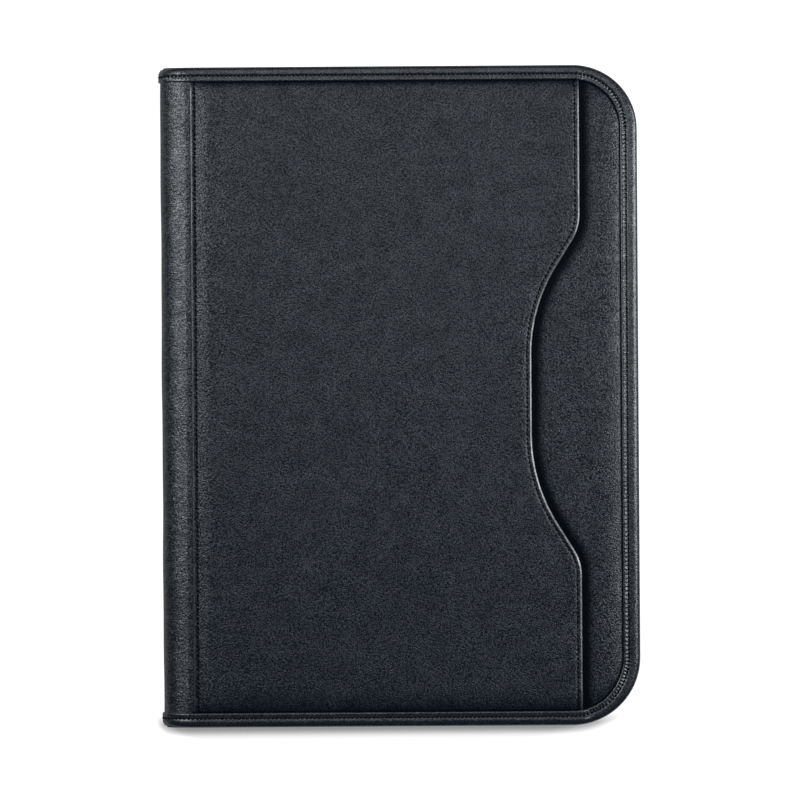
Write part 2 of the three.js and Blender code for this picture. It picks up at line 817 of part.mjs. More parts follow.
function addWritingPad(group) {
  addPiece(group, 'pad_backing', padBackingCard(), padCard);
  addPiece(group, 'pad_paper', padPaper(), paper);
  addPiece(group, 'pad_header_tape', padHeader(), tapeCloth);
}

function padfolio() {
  const root = new THREE.Group();
  const backCover = body(root, new THREE.Vector3());
  addBackCover(backCover);
  addWritingPad(body(backCover, new THREE.Vector3()));
  const spine = body(backCover, hingeLine(-1));
  addSpineSection(spine, 'middle', hingeAngle, Math.PI - hingeAngle);
  addFrontCover(body(spine, hingeLine(1)));
  return root;
}

export default padfolio();
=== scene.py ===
"""An A4 padfolio in black leatherette, closed and lying on its back cover, seen from straight above.

Sizes are in millimetres and are scaled to metres where a mesh is laid. +X runs from the spine to the
opening edge, +Y to the top edge and +Z up through the covers, as in the CAD frame.
"""

import math

import bpy
import numpy as np
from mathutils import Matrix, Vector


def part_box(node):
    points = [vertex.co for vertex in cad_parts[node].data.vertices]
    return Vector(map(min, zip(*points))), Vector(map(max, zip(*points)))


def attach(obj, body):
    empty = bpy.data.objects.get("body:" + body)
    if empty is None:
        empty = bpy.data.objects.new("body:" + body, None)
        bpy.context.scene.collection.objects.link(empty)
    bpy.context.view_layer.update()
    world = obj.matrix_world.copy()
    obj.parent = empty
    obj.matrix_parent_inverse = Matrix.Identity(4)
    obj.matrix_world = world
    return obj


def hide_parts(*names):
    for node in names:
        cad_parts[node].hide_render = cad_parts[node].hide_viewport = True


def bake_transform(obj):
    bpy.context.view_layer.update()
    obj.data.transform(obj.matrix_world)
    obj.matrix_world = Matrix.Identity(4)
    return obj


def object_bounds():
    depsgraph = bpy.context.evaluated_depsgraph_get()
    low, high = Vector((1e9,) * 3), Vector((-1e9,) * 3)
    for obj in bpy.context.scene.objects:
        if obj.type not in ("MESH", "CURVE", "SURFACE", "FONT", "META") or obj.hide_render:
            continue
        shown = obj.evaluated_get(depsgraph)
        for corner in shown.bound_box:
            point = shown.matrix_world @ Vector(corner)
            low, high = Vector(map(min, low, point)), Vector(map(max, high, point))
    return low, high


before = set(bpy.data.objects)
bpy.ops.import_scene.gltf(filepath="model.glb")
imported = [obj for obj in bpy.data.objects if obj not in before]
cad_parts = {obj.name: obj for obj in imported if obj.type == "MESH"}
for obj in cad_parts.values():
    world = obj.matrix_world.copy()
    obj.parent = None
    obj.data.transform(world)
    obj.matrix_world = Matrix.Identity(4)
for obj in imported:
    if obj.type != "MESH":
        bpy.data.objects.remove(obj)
cad_low, cad_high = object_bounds()

MM = 0.001


def corners(node):
    """Lowest and highest corner of a CAD node, in millimetres."""
    low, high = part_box(node)
    return np.array(low) / MM, np.array(high) / MM


# ---- Places that the frame gives

# In the photo the opening edge lies a little further out than in the frame.
OVERHANG = 0.5
HALF_WIDTH, HALF_HEIGHT, FRONT_TAPE_TOP = corners("front_binding")[1]
HALF_WIDTH += OVERHANG
FRONT_TAPE_INNER = corners("front_binding")[0][2]
BACK_TAPE_OUTER, BACK_TAPE_INNER = corners("back_binding")[0][2], corners("back_binding")[1][2]
FRONT_BASE_LOW, FRONT_BASE_TOP = corners("front_leather")[0][2], corners("front_leather")[1][2]
BACK_BASE_HIGH = corners("back_leather")[1][2]
FOLD_X = corners("front_pocket_panel")[0][0]
MOUTH_EDGE_X = corners("front_pocket_panel")[1][0]
SPINE_LOW, SPINE_HIGH = corners("spine_leather_back")[0][2], corners("spine_leather_front")[1][2]
SPINE_RADIUS = (SPINE_HIGH - SPINE_LOW) / 2
SPINE_Z = (SPINE_HIGH + SPINE_LOW) / 2
SPINE_X = corners("spine_leather_middle")[0][0] + SPINE_RADIUS
PADDING, LINING = 1.5, 0.5
PADDING_INNER = SPINE_X - corners("spine_padding_middle")[0][0] - PADDING
LINING_OUTER = SPINE_X - corners("spine_lining_middle")[0][0]
LINING_INNER = LINING_OUTER - LINING
TAPE_RADIUS = SPINE_X - corners("spine_binding_top_middle")[0][0]

# ---- Sizes of the soft pieces

TOP_CORNER = 32.0
BOTTOM_CORNER = 34.0
CUT_EDGE = 0.85
SEAM = 7.4
CROWN = FRONT_BASE_TOP - SPINE_HIGH
CROWN_RUN = 12.0
JOIN_X = SPINE_X + 3.0
SHOULDER_X = FOLD_X - 1.3
VALLEY = 0.10
FOLD_LIFT = 0.3

TAPE_WIDTH_ENDS = 7.3
TAPE_WIDTH_SIDE = 8.5
TAPE_WIDTH_INSIDE = 7.0
TAPE_STEP = 0.7
TAPE_ROW = 2.8
TAPE_PITCH = 2.1
TAPE_THREAD = 0.85
TAPE_SINK = 0.16
SPINE_END_ROUND = 4.0
SPINE_END_DROP = 2.4
SPINE_TAPE_GAP = 0.85

POCKET_THICKNESS = 1.0
POCKET_GAP = 0.1
POCKET_ROW = 2.3
POCKET_PITCH = 2.3
POCKET_THREAD = 0.9
MOUTH_DEPTH = 24.5
MOUTH_HALF = 90.0
MOUTH_FLAT = 20.0
SHOULDER_RADIUS = 24.0
MOUTH_SLOPE = math.radians(32)
MOUTH_DROP = 0.35
MOUTH_BULGE = 0.34
HEM_DIP = 0.26
HEM_SWELL = 0.05

THREAD = 0.5
STITCH = 1.7
INNER_PITCH = 2.6
INNER_ROW = 2.3
INNER_RISE = 0.02
LIP_REACH = 0.9
TRIM_STRIP = 6.0
FRAME_CORNER = 4.0
ELASTIC_HALF = 0.35


# ---- Shapes of curves

def ramp(value, start, end):
    """Smooth step from 0 at start to 1 at end."""
    t = np.clip((value - start) / (end - start), 0, 1)
    return t * t * (3 - 2 * t)


def swell(t):
    """Rise of a padded edge: steep at the seam and level at 1."""
    return np.sqrt(1 - (1 - np.clip(t, 0, 1)) ** 2)


def ridge(value, centre, width):
    """A rounded ridge of height 1 about a centre."""
    return np.exp(-(((value - centre) / width) ** 2))


def corner_at(y):
    """Radius of the corner at the top or the bottom of the opening edge."""
    return np.where(np.asarray(y) > 0, TOP_CORNER, BOTTOM_CORNER)


def rim_distance(x, y):
    """How far a point lies inside the folio's outline, apart from the spine side."""
    dx, dy, r = HALF_WIDTH - x, HALF_HEIGHT - np.abs(y), corner_at(y)
    rounded = r - np.hypot(r - dx, r - dy)
    return np.where((dx < r) & (dy < r), rounded, np.minimum(dx, dy))


def seam_distance(x, y):
    """How far a point lies inside the binding tape, which is wider along the opening edge."""
    dx, dy, r = HALF_WIDTH - x, HALF_HEIGHT - np.abs(y), corner_at(y)
    across, along = np.clip(r - dx, 0, None) ** 2, np.clip(r - dy, 0, None) ** 2
    turned = across / (across + along + 1e-9)
    extra = (TAPE_WIDTH_SIDE - TAPE_WIDTH_ENDS) * turned
    return rim_distance(x, y) - SEAM - extra


def shoulder(x):
    """Height of the spine's upper side over its middle, as a share: it bows from the fold down to the left."""
    reach = SHOULDER_X - SPINE_X + SPINE_RADIUS
    return np.sqrt(1 - np.clip((SHOULDER_X - x) / reach, 0, 1) ** 2)


def shoulder_drop(x):
    """How far the bowed leather lies below the level of the cover."""
    return SPINE_RADIUS * (1 - shoulder(x))


def mouth_x(y):
    """Edge of the slash pocket's mouth: a convex shoulder, a short straight and a long hollow."""
    sine, cosine = math.sin(MOUTH_SLOPE), math.cos(MOUTH_SLOPE)
    rise = MOUTH_HALF - MOUTH_FLAT
    straight = (MOUTH_DEPTH * sine - rise * (1 - cosine)) / (sine**2 - cosine * (1 - cosine))
    hollow = (rise - straight * cosine) / sine - SHOULDER_RADIUS
    along = np.clip(MOUTH_HALF - np.abs(y), 0, rise)
    left = rise - along
    shoulder = SHOULDER_RADIUS - np.sqrt(SHOULDER_RADIUS**2 - np.minimum(along, SHOULDER_RADIUS * sine) ** 2)
    middle = np.clip((along - SHOULDER_RADIUS * sine) / cosine, 0, straight) * sine
    bottom = hollow * (1 - cosine) - (hollow - np.sqrt(hollow**2 - np.minimum(left, hollow * sine) ** 2))
    return MOUTH_EDGE_X - shoulder - middle - bottom


def mouth_slant(y):
    """How much longer the way straight across is than the way square to the mouth's edge."""
    return np.sqrt(1 + (mouth_x(y + 0.5) - mouth_x(y - 0.5)) ** 2)


def mouth_distance(x, y):
    """Distance from the pocket's mouth, over the panel, square to the edge."""
    return (mouth_x(y) - x) / mouth_slant(y)


def unevenness(x, y):
    """Slow waves of a hand-padded surface, between -1 and 1."""
    return (
        0.5 * np.sin(x / 23 + 1.3) * np.cos(y / 31 + 0.4)
        + 0.3 * np.sin(x / 13 - y / 19)
        + 0.2 * np.cos(x / 37 + y / 11 + 2.0)
    )


# ---- Building meshes

def rolled(name, rings):
    """A closed skin over successive rings of points, in millimetres, with its two ends filled."""
    rows, count = rings.shape[:2]
    bpy.ops.object.select_all(action="DESELECT")
    bpy.ops.mesh.primitive_grid_add(x_subdivisions=count, y_subdivisions=rows - 1, size=2)
    piece = bpy.context.active_object
    piece.name = piece.data.name = name
    places = np.concatenate([rings, rings[:, :1]], axis=1)
    piece.data.vertices.foreach_set("co", (places * MM).ravel())
    bpy.ops.object.mode_set(mode="EDIT")
    bpy.ops.mesh.select_all(action="SELECT")
    bpy.ops.mesh.remove_doubles(threshold=1e-6)
    bpy.ops.mesh.select_all(action="DESELECT")
    bpy.ops.mesh.select_mode(type="EDGE")
    bpy.ops.mesh.select_non_manifold()
    bpy.ops.mesh.fill_holes(sides=0)
    bpy.ops.mesh.select_all(action="SELECT")
    bpy.ops.mesh.normals_make_consistent(inside=False)
    bpy.ops.object.mode_set(mode="OBJECT")
    bpy.ops.object.shade_smooth_by_angle(angle=math.radians(35))
    return piece


def points(*columns):
    """Coordinates side by side, stretched to one shape."""
    return np.stack(np.broadcast_arrays(*columns), axis=-1).astype(float)


def paint_recess_shade(piece, depth):
    """Records how deep in a recess each point lies, as painted shade: there the leatherette's colour and gloss
    are darkened to stand for the shade that falls in it.
    """
    count = len(piece.data.vertices)
    place = np.empty(3 * count)
    piece.data.vertices.foreach_get("co", place)
    x, y = place[0::3] / MM, place[1::3] / MM
    layer = piece.data.attributes.new("recess", "FLOAT", "POINT")
    layer.data.foreach_set("value", depth(x, y).astype(np.float32))


def paint_lip_highlights(piece, *finishes):
    """Paints highlights on rolled lips: the faces near each lip get a lighter, glossier leatherette. Each
    highlight is a material, a distance from the lip and its reach.
    """
    count = len(piece.data.polygons)
    middle = np.empty(3 * count)
    piece.data.polygons.foreach_get("center", middle)
    x, y = middle[0::3] / MM, middle[1::3] / MM
    index = np.zeros(count, np.int32)
    for number, (material, distance, reach) in enumerate(finishes, 1):
        index[distance(x, y) < reach] = number
        piece.data.materials.append(material)
    piece.data.polygons.foreach_set("material_index", index)


def finish_piece(piece, material, body, slot, *nodes):
    """Gives a piece its material, hangs it from its body when that is a name and else bakes its place into the
    mesh, and hides the CAD nodes that it stands for.
    """
    piece.data.materials.clear()
    piece.data.materials.append(material)
    if isinstance(body, str):
        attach(piece, body)
    else:
        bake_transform(piece)
    if nodes:
        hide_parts(*nodes)


def declare_sheet(piece, outline, held, *carriers):
    """Splits a sheet's outline into X and Y in metres, and does nothing more with it."""
    x, y = (np.asarray(outline) * MM).T


def stitch_row(name, path, up, pitch=TAPE_PITCH, tilt=12.0, girth=THREAD):
    """A row of thread stitches along a path. Each one is a short cord whose ends dive into the leather."""
    path, up = np.asarray(path, float), np.broadcast_to(np.asarray(up, float), np.shape(path))
    steps = np.linalg.norm(np.diff(path, axis=0), axis=1)
    length = np.concatenate([[0], np.cumsum(steps)])
    count = int(length[-1] / pitch)
    centres = (np.arange(count) + 0.5) * length[-1] / count

    def along(values, at):
        return np.stack([np.interp(at, length, values[:, k]) for k in range(3)], axis=1)

    def unit(v):
        return v / np.linalg.norm(v, axis=1)[:, None]

    middle = along(path, centres)
    forward = unit(along(path, centres + 0.3) - along(path, centres - 0.3))
    normal = unit(along(up, centres))
    side = unit(np.cross(normal, forward))
    angle = math.radians(tilt)
    sine, cosine = math.sin(angle), math.cos(angle)
    forward, side = forward * cosine + side * sine, side * cosine - forward * sine
    stops = np.array([-0.5, -0.38, -0.18, 0.18, 0.38, 0.5])
    girth = np.array([0.55, 0.9, 1.0, 1.0, 0.9, 0.55]) * girth / 2
    dive = -0.42 * np.abs(2 * stops) ** 4
    turn = np.arange(6) * math.pi / 3
    local = points(
        stops[:, None] * STITCH, girth[:, None] * np.cos(turn), girth[:, None] * np.sin(turn) + dive[:, None]
    ).reshape(-1, 3)
    axes = np.stack([forward, side, normal], axis=1)
    places = middle[:, None] + np.einsum("vk,skc->svc", local, axes)
    faces = [
        (r * 6 + k, r * 6 + (k + 1) % 6, r * 6 + 6 + (k + 1) % 6, r * 6 + 6 + k)
        for r in range(5) for k in range(6)
    ]
    faces += [tuple(reversed(range(6))), tuple(range(30, 36))]
    mesh = bpy.data.meshes.new(name)
    every = [tuple(36 * s + v for v in face) for s in range(count) for face in faces]
    mesh.from_pydata((places * MM).reshape(-1, 3).tolist(), [], every)
    mesh.shade_smooth()
    piece = bpy.data.objects.new(name, mesh)
    bpy.context.collection.objects.link(piece)
    return piece


def sew(name, path, up, material, body, slot, **kind):
    """Sews a row of stitches and finishes it with its thread and body, as finish_piece does."""
    finish_piece(stitch_row(name, path, up, **kind), material, body, slot)


# ---- Materials

def add(tree, kind, **values):
    """A node with its properties and input values set."""
    node = tree.nodes.new(kind)
    for key, value in values.items():
        if key in node.inputs:
            node.inputs[key].default_value = value
        else:
            setattr(node, key, value)
    return node


def pattern(tree, kind, places, **values):
    """A node that reads places, or any other vector."""
    node = add(tree, kind, **values)
    tree.links.new(places, node.inputs["Vector"])
    return node


def object_places(tree, stretch=(1, 1, 1)):
    """Object coordinates, stretched along the axes."""
    source = add(tree, "ShaderNodeTexCoord")
    return pattern(tree, "ShaderNodeMapping", source.outputs["Object"], Scale=stretch).outputs["Vector"]


def new_material(name, **values):
    """A material with plain values on its shader, its nodes, and the places that its patterns read."""
    material = bpy.data.materials.new(name)
    material.use_nodes = True
    tree = material.node_tree
    shader = tree.nodes["Principled BSDF"]
    for key, value in values.items():
        shader.inputs[key.replace("_", " ")].default_value = value
    return material, tree, shader, object_places(tree)


def noise(tree, places, size, detail=2.0, roughness=0.5):
    """Noise whose features are about the given size in millimetres."""
    values = {"Scale": 1 / (size * MM), "Detail": detail, "Roughness": roughness}
    return pattern(tree, "ShaderNodeTexNoise", places, **values).outputs["Fac"]


def ribs(tree, places, pitch, direction, distortion):
    """Even ribs across a direction."""
    values = {"Scale": 0.31 / (pitch * MM), "Distortion": distortion, "bands_direction": direction}
    return pattern(tree, "ShaderNodeTexWave", places, **values).outputs["Fac"]


def spread(tree, value, low, high, start=0.0, end=1.0):
    """A value carried from the range start to end over to the range low to high."""
    node = add(tree, "ShaderNodeMapRange")
    for key, number in (("From Min", start), ("From Max", end), ("To Min", low), ("To Max", high)):
        node.inputs[key].default_value = number
    tree.links.new(value, node.inputs["Value"])
    return node.outputs["Result"]


def combine(tree, operation, first, second):
    """Math on two values, each a socket or a number."""
    node = add(tree, "ShaderNodeMath", operation=operation)
    for slot, value in enumerate((first, second)):
        if isinstance(value, (int, float)):
            node.inputs[slot].default_value = value
        else:
            tree.links.new(value, node.inputs[slot])
    return node.outputs["Value"]


def bump(tree, shader, height, depth):
    """Raises a height, between 0 and 1, by a depth in millimetres."""
    node = add(tree, "ShaderNodeBump", Strength=1.0, Distance=depth * MM)
    tree.links.new(height, node.inputs["Height"])
    tree.links.new(node.outputs["Normal"], shader.inputs["Normal"])


def tint(tree, shader, value, dark, light):
    """A colour between two, by a value between 0 and 1."""
    node = add(tree, "ShaderNodeMix", data_type="RGBA")
    node.inputs["A"].default_value = (*dark, 1)
    node.inputs["B"].default_value = (*light, 1)
    tree.links.new(value, node.inputs["Factor"])
    tree.links.new(node.outputs["Result"], shader.inputs["Base Color"])


def pebbles(tree, places, size):
    """Height of a pebbled grain: rounded cells with fine creases between them."""
    values = {"feature": "SMOOTH_F1", "Scale": 1 / (size * MM), "Smoothness": 0.35}
    cells = pattern(tree, "ShaderNodeTexVoronoi", places, **values)
    return spread(tree, cells.outputs["Distance"], 1.0, 0.0, 0.0, 0.75)


def leatherette(name, dark, light, depth=0.12, roughness=(0.25, 0.37), creases=0.0, gloss=0.58, speckle=0.68):
    """Pebbled black leatherette: shiny pebbles with matt creases between them.

    Depth is that of its grain in millimetres, creases adds wrinkles across the spine, and speckle is how
    much its pebbles differ.
    """
    material, tree, shader, places = new_material(name, Specular_Tint=(0.92, 0.96, 1.0, 1))
    grain = pebbles(tree, places, 0.74)
    fine = noise(tree, places, 0.70, detail=0.0)
    patches = noise(tree, places, 9.0, detail=1.0, roughness=0.6)
    tops = spread(tree, combine(tree, "ADD", grain, fine), 1 - speckle, 1 + speckle, 0.5, 1.3)
    height = combine(tree, "ADD", combine(tree, "MULTIPLY", grain, 0.7), combine(tree, "MULTIPLY", fine, 0.8))
    if creases:
        across = noise(tree, object_places(tree, (0.3, 1.0, 0.3)), 0.9, detail=4.0, roughness=0.65)
        height = combine(tree, "ADD", height, combine(tree, "MULTIPLY", across, creases))
        tops = combine(tree, "MULTIPLY", tops, spread(tree, across, 0.5, 1.5, 0.35, 0.65))
    bump(tree, shader, height, depth)
    tops = combine(tree, "MULTIPLY", tops, spread(tree, patches, 0.86, 1.14, 0.3, 0.7))
    # Painted shade: a piece's recess attribute darkens the colour and the gloss towards black.
    recess = add(tree, "ShaderNodeAttribute", attribute_name="recess")
    grain_and_painted_shade = combine(tree, "MULTIPLY", tops, spread(tree, recess.outputs["Fac"], 1.0, 0.05))
    tint(tree, shader, combine(tree, "MULTIPLY", grain_and_painted_shade, 0.49), dark, light)
    tree.links.new(combine(tree, "MULTIPLY", grain_and_painted_shade, gloss), shader.inputs["Specular IOR Level"])
    tree.links.new(spread(tree, fine, *roughness, 0.3, 0.7), shader.inputs["Roughness"])
    return material


def thread(name, colour, roughness, gloss):
    """Waxed sewing thread, twisted along its length."""
    material, tree, shader, places = new_material(name, Roughness=roughness, Specular_IOR_Level=gloss)
    bump(tree, shader, ribs(tree, places, 0.279, "DIAGONAL", 1.5), 0.05)
    tint(tree, shader, noise(tree, places, 3.0), colour, tuple(1.6 * c for c in colour))
    return material


def woven(name, dark, light, pitch):
    """Plain woven cloth with threads along X and Y."""
    material, tree, shader, places = new_material(name, Roughness=0.85, Sheen_Weight=0.2)
    height = combine(tree, "MULTIPLY", *(ribs(tree, places, pitch, way, 0.6) for way in ("X", "Y")))
    bump(tree, shader, height, 0.08)
    mottle = combine(tree, "MULTIPLY", noise(tree, places, 5.0), combine(tree, "ADD", height, 0.4))
    tint(tree, shader, mottle, dark, light)
    return material


def board(name, dark, light):
    """Matt fibrous card."""
    material, tree, shader, places = new_material(name, Roughness=0.9)
    fibres = noise(tree, places, 0.8, detail=5.0, roughness=0.7)
    bump(tree, shader, fibres, 0.04)
    tint(tree, shader, fibres, dark, light)
    return material


def ruled_sheets(name):
    """A block of ruled sheets: pale blue lines on top and the layers of the sheets at its sides."""
    material, tree, shader, places = new_material(name, Roughness=0.85)
    along = pattern(tree, "ShaderNodeSeparateXYZ", places).outputs["Y"]
    feint = combine(tree, "PINGPONG", combine(tree, "ADD", along, 1.0), 4 * MM)
    line = spread(tree, feint, 1.0, 0.0, 0.0, 0.16 * MM)
    normal = add(tree, "ShaderNodeNewGeometry").outputs["Normal"]
    top = spread(tree, pattern(tree, "ShaderNodeSeparateXYZ", normal).outputs["Z"], 0.0, 1.0, 0.6, 0.9)
    tint(tree, shader, combine(tree, "MULTIPLY", line, top), (0.80, 0.79, 0.72), (0.30, 0.42, 0.60))
    layers = ribs(tree, places, 0.22, "Z", 0.8)
    bump(tree, shader, combine(tree, "MULTIPLY", layers, combine(tree, "SUBTRACT", 1.0, top)), 0.08)
    return material


def clear_film(name):
    """Clear film with a faint haze, over the dark lining."""
    values = {"Base_Color": (0.09, 0.095, 0.10, 1), "Specular_IOR_Level": 1.0, "Alpha": 0.38}
    material, tree, shader, places = new_material(name, **values)
    tree.links.new(spread(tree, noise(tree, places, 14.0), 0.08, 0.22), shader.inputs["Roughness"])
    return material


def elastic_web(name):
    """Black elastic with ribs along its length."""
    material, tree, shader, places = new_material(name, Roughness=0.8)
    bump(tree, shader, ribs(tree, places, 0.9, "Y", 0.3), 0.15)
    tint(tree, shader, noise(tree, places, 0.7, detail=3.0), (0.008, 0.008, 0.009), (0.022, 0.022, 0.024))
    return material


# The leatherette's two blacks: pebble tops reach the second, creases and painted shade stay near the first.
BLACK = (0.0020, 0.0040, 0.0070)
PEBBLE_TOP_BLACK = (0.0185, 0.0270, 0.0410)
COVER_LEATHER = leatherette("cover_leatherette", BLACK, PEBBLE_TOP_BLACK)
SPINE_LEATHER = leatherette("spine_leatherette", BLACK, PEBBLE_TOP_BLACK, creases=0.8, gloss=0.87, speckle=0.55)
TAPE_LEATHER = leatherette(
    "binding_leatherette", BLACK, PEBBLE_TOP_BLACK, depth=0.05, roughness=(0.25, 0.35), gloss=1.05, speckle=0.4
)
INNER_LEATHER = leatherette(
    "inner_leatherette", (0.007, 0.008, 0.010), (0.038, 0.042, 0.049),
    depth=0.06, roughness=(0.5, 0.62), speckle=0.35,
)
# Lighter, glossier copies of the leatherette for rolled lips: their lighter colour is a painted highlight along
# each lip.
BRIGHT_LIP_HIGHLIGHT = leatherette(
    "bright_lip_painted_highlight", (0.035, 0.038, 0.044), (0.07, 0.075, 0.084),
    depth=0.02, roughness=(0.26, 0.32), gloss=1.3, speckle=0.3,
)
DIM_LIP_HIGHLIGHT = leatherette(
    "dim_lip_painted_highlight", (0.016, 0.019, 0.024), (0.036, 0.040, 0.048),
    depth=0.02, roughness=(0.26, 0.34), gloss=1.1, speckle=0.3,
)
BLACK_THREAD = thread("black_thread", (0.012, 0.013, 0.016), 0.32, 0.8)
# A darker, matt copy of the black thread: black thread, darkened further as painted shade for its stitch holes.
MATT_THREAD_PAINTED_SHADE = thread("matt_black_thread_painted_shade", (0.002, 0.0025, 0.0035), 0.8, 0.08)
LINING_CLOTH = woven("black_lining_cloth", (0.0035, 0.004, 0.005), (0.016, 0.017, 0.020), 0.5)
HEADER_CLOTH = woven("navy_header_cloth", (0.008, 0.012, 0.03), (0.03, 0.045, 0.1), 0.6)
GREYBOARD = board("greyboard", (0.16, 0.15, 0.13), (0.32, 0.30, 0.27))
PAD_CARD = board("pad_card", (0.30, 0.27, 0.22), (0.48, 0.44, 0.37))
PAPER = ruled_sheets("ruled_sheets")
FILM = clear_film("clear_film")
ELASTIC = elastic_web("black_elastic")


# ---- Covers

def round_corners(offset, steps):
    """Edge, end, radii and arcs of a cover's two rounded corners, moved in by an offset."""
    edge, end = HALF_WIDTH - offset, HALF_HEIGHT - offset
    top, bottom = max(TOP_CORNER - offset, 1.0), max(BOTTOM_CORNER - offset, 1.0)
    turn = np.radians(np.linspace(0, 90, steps))
    lower = points(edge - bottom + bottom * np.sin(turn), bottom - end - bottom * np.cos(turn))
    upper = points(edge - top + top * np.cos(turn), end - top + top * np.sin(turn))
    return edge, end, top, bottom, lower, upper


def cover_ring(offset, left):
    """Closed outline of a cover, moved in by an offset, with its spine side at left."""
    edge, end, top, bottom, lower, upper = round_corners(offset, 20)
    return np.concatenate([
        points(np.linspace(left, edge - bottom, 60)[:-1], -end),
        lower,
        points(edge, np.linspace(bottom - end, end - top, 200)[1:-1]),
        upper,
        points(np.linspace(edge - top, left, 60)[1:], end),
        points(left, np.linspace(end, -end, 220)[1:-1]),
    ])


CROWN_STEPS = np.array([0, 0.1, 0.3, 0.6, 1.0, 1.5, 2.2, 3.0, 4.0, 5.2, 6.6, 8.2, 10.0, 12.0])


def valley(x):
    """How far the leather lies below the cover's level between the spine and the pocket panel's fold."""
    return shoulder_drop(x) + VALLEY * ridge(x, FOLD_X - 0.2, 1.2)


def fold_rise(x):
    """Share of the crown that is reached behind the fold: level under the hem, then a long soft rise."""
    d = x - FOLD_X
    soft = 0.68 * ramp(d, 1.8, 9.5) + 0.32 * ramp(d, 4, 26)
    return FOLD_LIFT * ramp(x, FOLD_X - 5, FOLD_X) + (1 - FOLD_LIFT) * soft


def front_base(x, y):
    """Outer face of the front cover's base leather, crowned over its foam."""
    rim = swell(seam_distance(x, y) / CROWN_RUN)
    return SPINE_HIGH - valley(x) * (1 - fold_rise(x)) + CROWN * fold_rise(x) * rim


def skin_level_at(x, y):
    """That leather's height near the folio's ends, where the binding holds it down."""
    return front_base(x, np.full_like(x, y))


def front_painted_shade(x, y):
    """Painted shade on the base leather: a painted shadow along the pocket's mouth, and painted shade along the
    binding.
    """
    past = -mouth_distance(x, y)
    mouth_painted_shadow = (1 - ramp(past, 2.2, 7.5)) * ramp(past, -4, -1)
    return np.maximum(mouth_painted_shadow, 1 - ramp(seam_distance(x, y), 0.2, 1.2) - ramp(FOLD_X - x, 0, 0.5))


def pocket_painted_shade(x, y):
    """Painted shade on the panel: in its two rows of stitches and along the binding."""
    rows = 0.45 * ridge(mouth_distance(x, y), POCKET_ROW, 0.6) + 0.75 * ridge(x - FOLD_X, POCKET_ROW - 0.4, 0.85)
    return np.maximum(rows, 0.9 * (1 - ramp(HALF_HEIGHT - np.abs(y) - SEAM, 0.2, 1.4)))


def tape_painted_shade(x, y):
    """Painted shade on the binding: on the outer side of the groove that its stitches draw."""
    return 0.35 * ridge(seam_distance(x, y), -TAPE_ROW - 0.6, 0.6)


def front_base_at_mouth(x, y):
    """The base leather, which lies lower along the pocket's mouth."""
    past = -mouth_distance(x, y)
    dent = ramp(past, -7, -1) * (1 - ramp(past, 0.0, 2.5)) * ramp(rim_distance(x, y), SEAM, SEAM + 6)
    return front_base(x, y) - MOUTH_DROP * dent


def cover_leather(name, offsets, lefts, top, bottom):
    """A padded cover: a flat underside, its cut edge and nested rings up to a level field."""
    rings = [cover_ring(CUT_EDGE, lefts[0])]
    levels = [np.full(len(rings[0]), bottom)]
    for offset, left in zip(offsets, lefts):
        ring = cover_ring(offset, left)
        rings.append(ring)
        levels.append(top(ring[:, 0], ring[:, 1]))
    return rolled(name, np.stack([points(r[:, 0], r[:, 1], z) for r, z in zip(rings, levels)]))


def make_front_leather():
    inner = np.arange(14.0, 56.0, 1.1)
    steps = np.concatenate([CROWN_STEPS, inner])
    offsets = np.concatenate([[CUT_EDGE, 4.0], SEAM + steps])
    lefts = np.concatenate([[JOIN_X, JOIN_X + 1.2], FOLD_X + steps])
    piece = cover_leather("front_leather_padded", offsets, lefts, front_base_at_mouth, FRONT_BASE_LOW)
    paint_recess_shade(piece, front_painted_shade)
    finish_piece(piece, COVER_LEATHER, "front_cover", "leatherette", "front_leather", "front_foam")


def back_base(x, y):
    """Outer face of the back cover, which lies on the floor."""
    rise = swell(seam_distance(x, y) / CROWN_RUN) * swell((x - JOIN_X) / CROWN_RUN)
    return SPINE_LOW * (1 - rise)


def make_back_leather():
    offsets = np.concatenate([[CUT_EDGE, 4.0], SEAM + CROWN_STEPS])
    lefts = np.concatenate([[JOIN_X, JOIN_X], JOIN_X + CROWN_STEPS])
    piece = cover_leather("back_leather_padded", offsets, lefts, back_base, BACK_BASE_HIGH)
    finish_piece(piece, COVER_LEATHER, "back_cover", "leatherette", "back_leather", "back_foam")


# ---- Slash pocket on the front cover

def pocket_top(x, y):
    """Outer face of the pocket panel, with its sewn hems."""
    inside = HALF_HEIGHT - np.abs(y) - SEAM
    from_fold, from_mouth = x - FOLD_X, mouth_distance(x, y)
    hems = sum(
        -HEM_DIP * ridge(d, POCKET_ROW, 0.6) + HEM_SWELL * ridge(d, POCKET_ROW + 3.2, 2.4)
        - lip * (1 - ramp(d, 0.3, 1.2))
        for d, lip in ((from_fold, 0.2), (from_mouth, 0.24))
    )
    bulge = MOUTH_BULGE * ridge(from_mouth, 8.5, 4.5) * ridge(y, 33, 55)
    field = 0.12 * unevenness(x, y) * ramp(np.minimum(from_fold, from_mouth), 4, 16)
    body = (hems + bulge + field) * ramp(inside, -0.5, 4)
    return front_base(x, y) + POCKET_GAP + POCKET_THICKNESS * (0.6 + 0.4 * ramp(inside, 0, 3)) + body


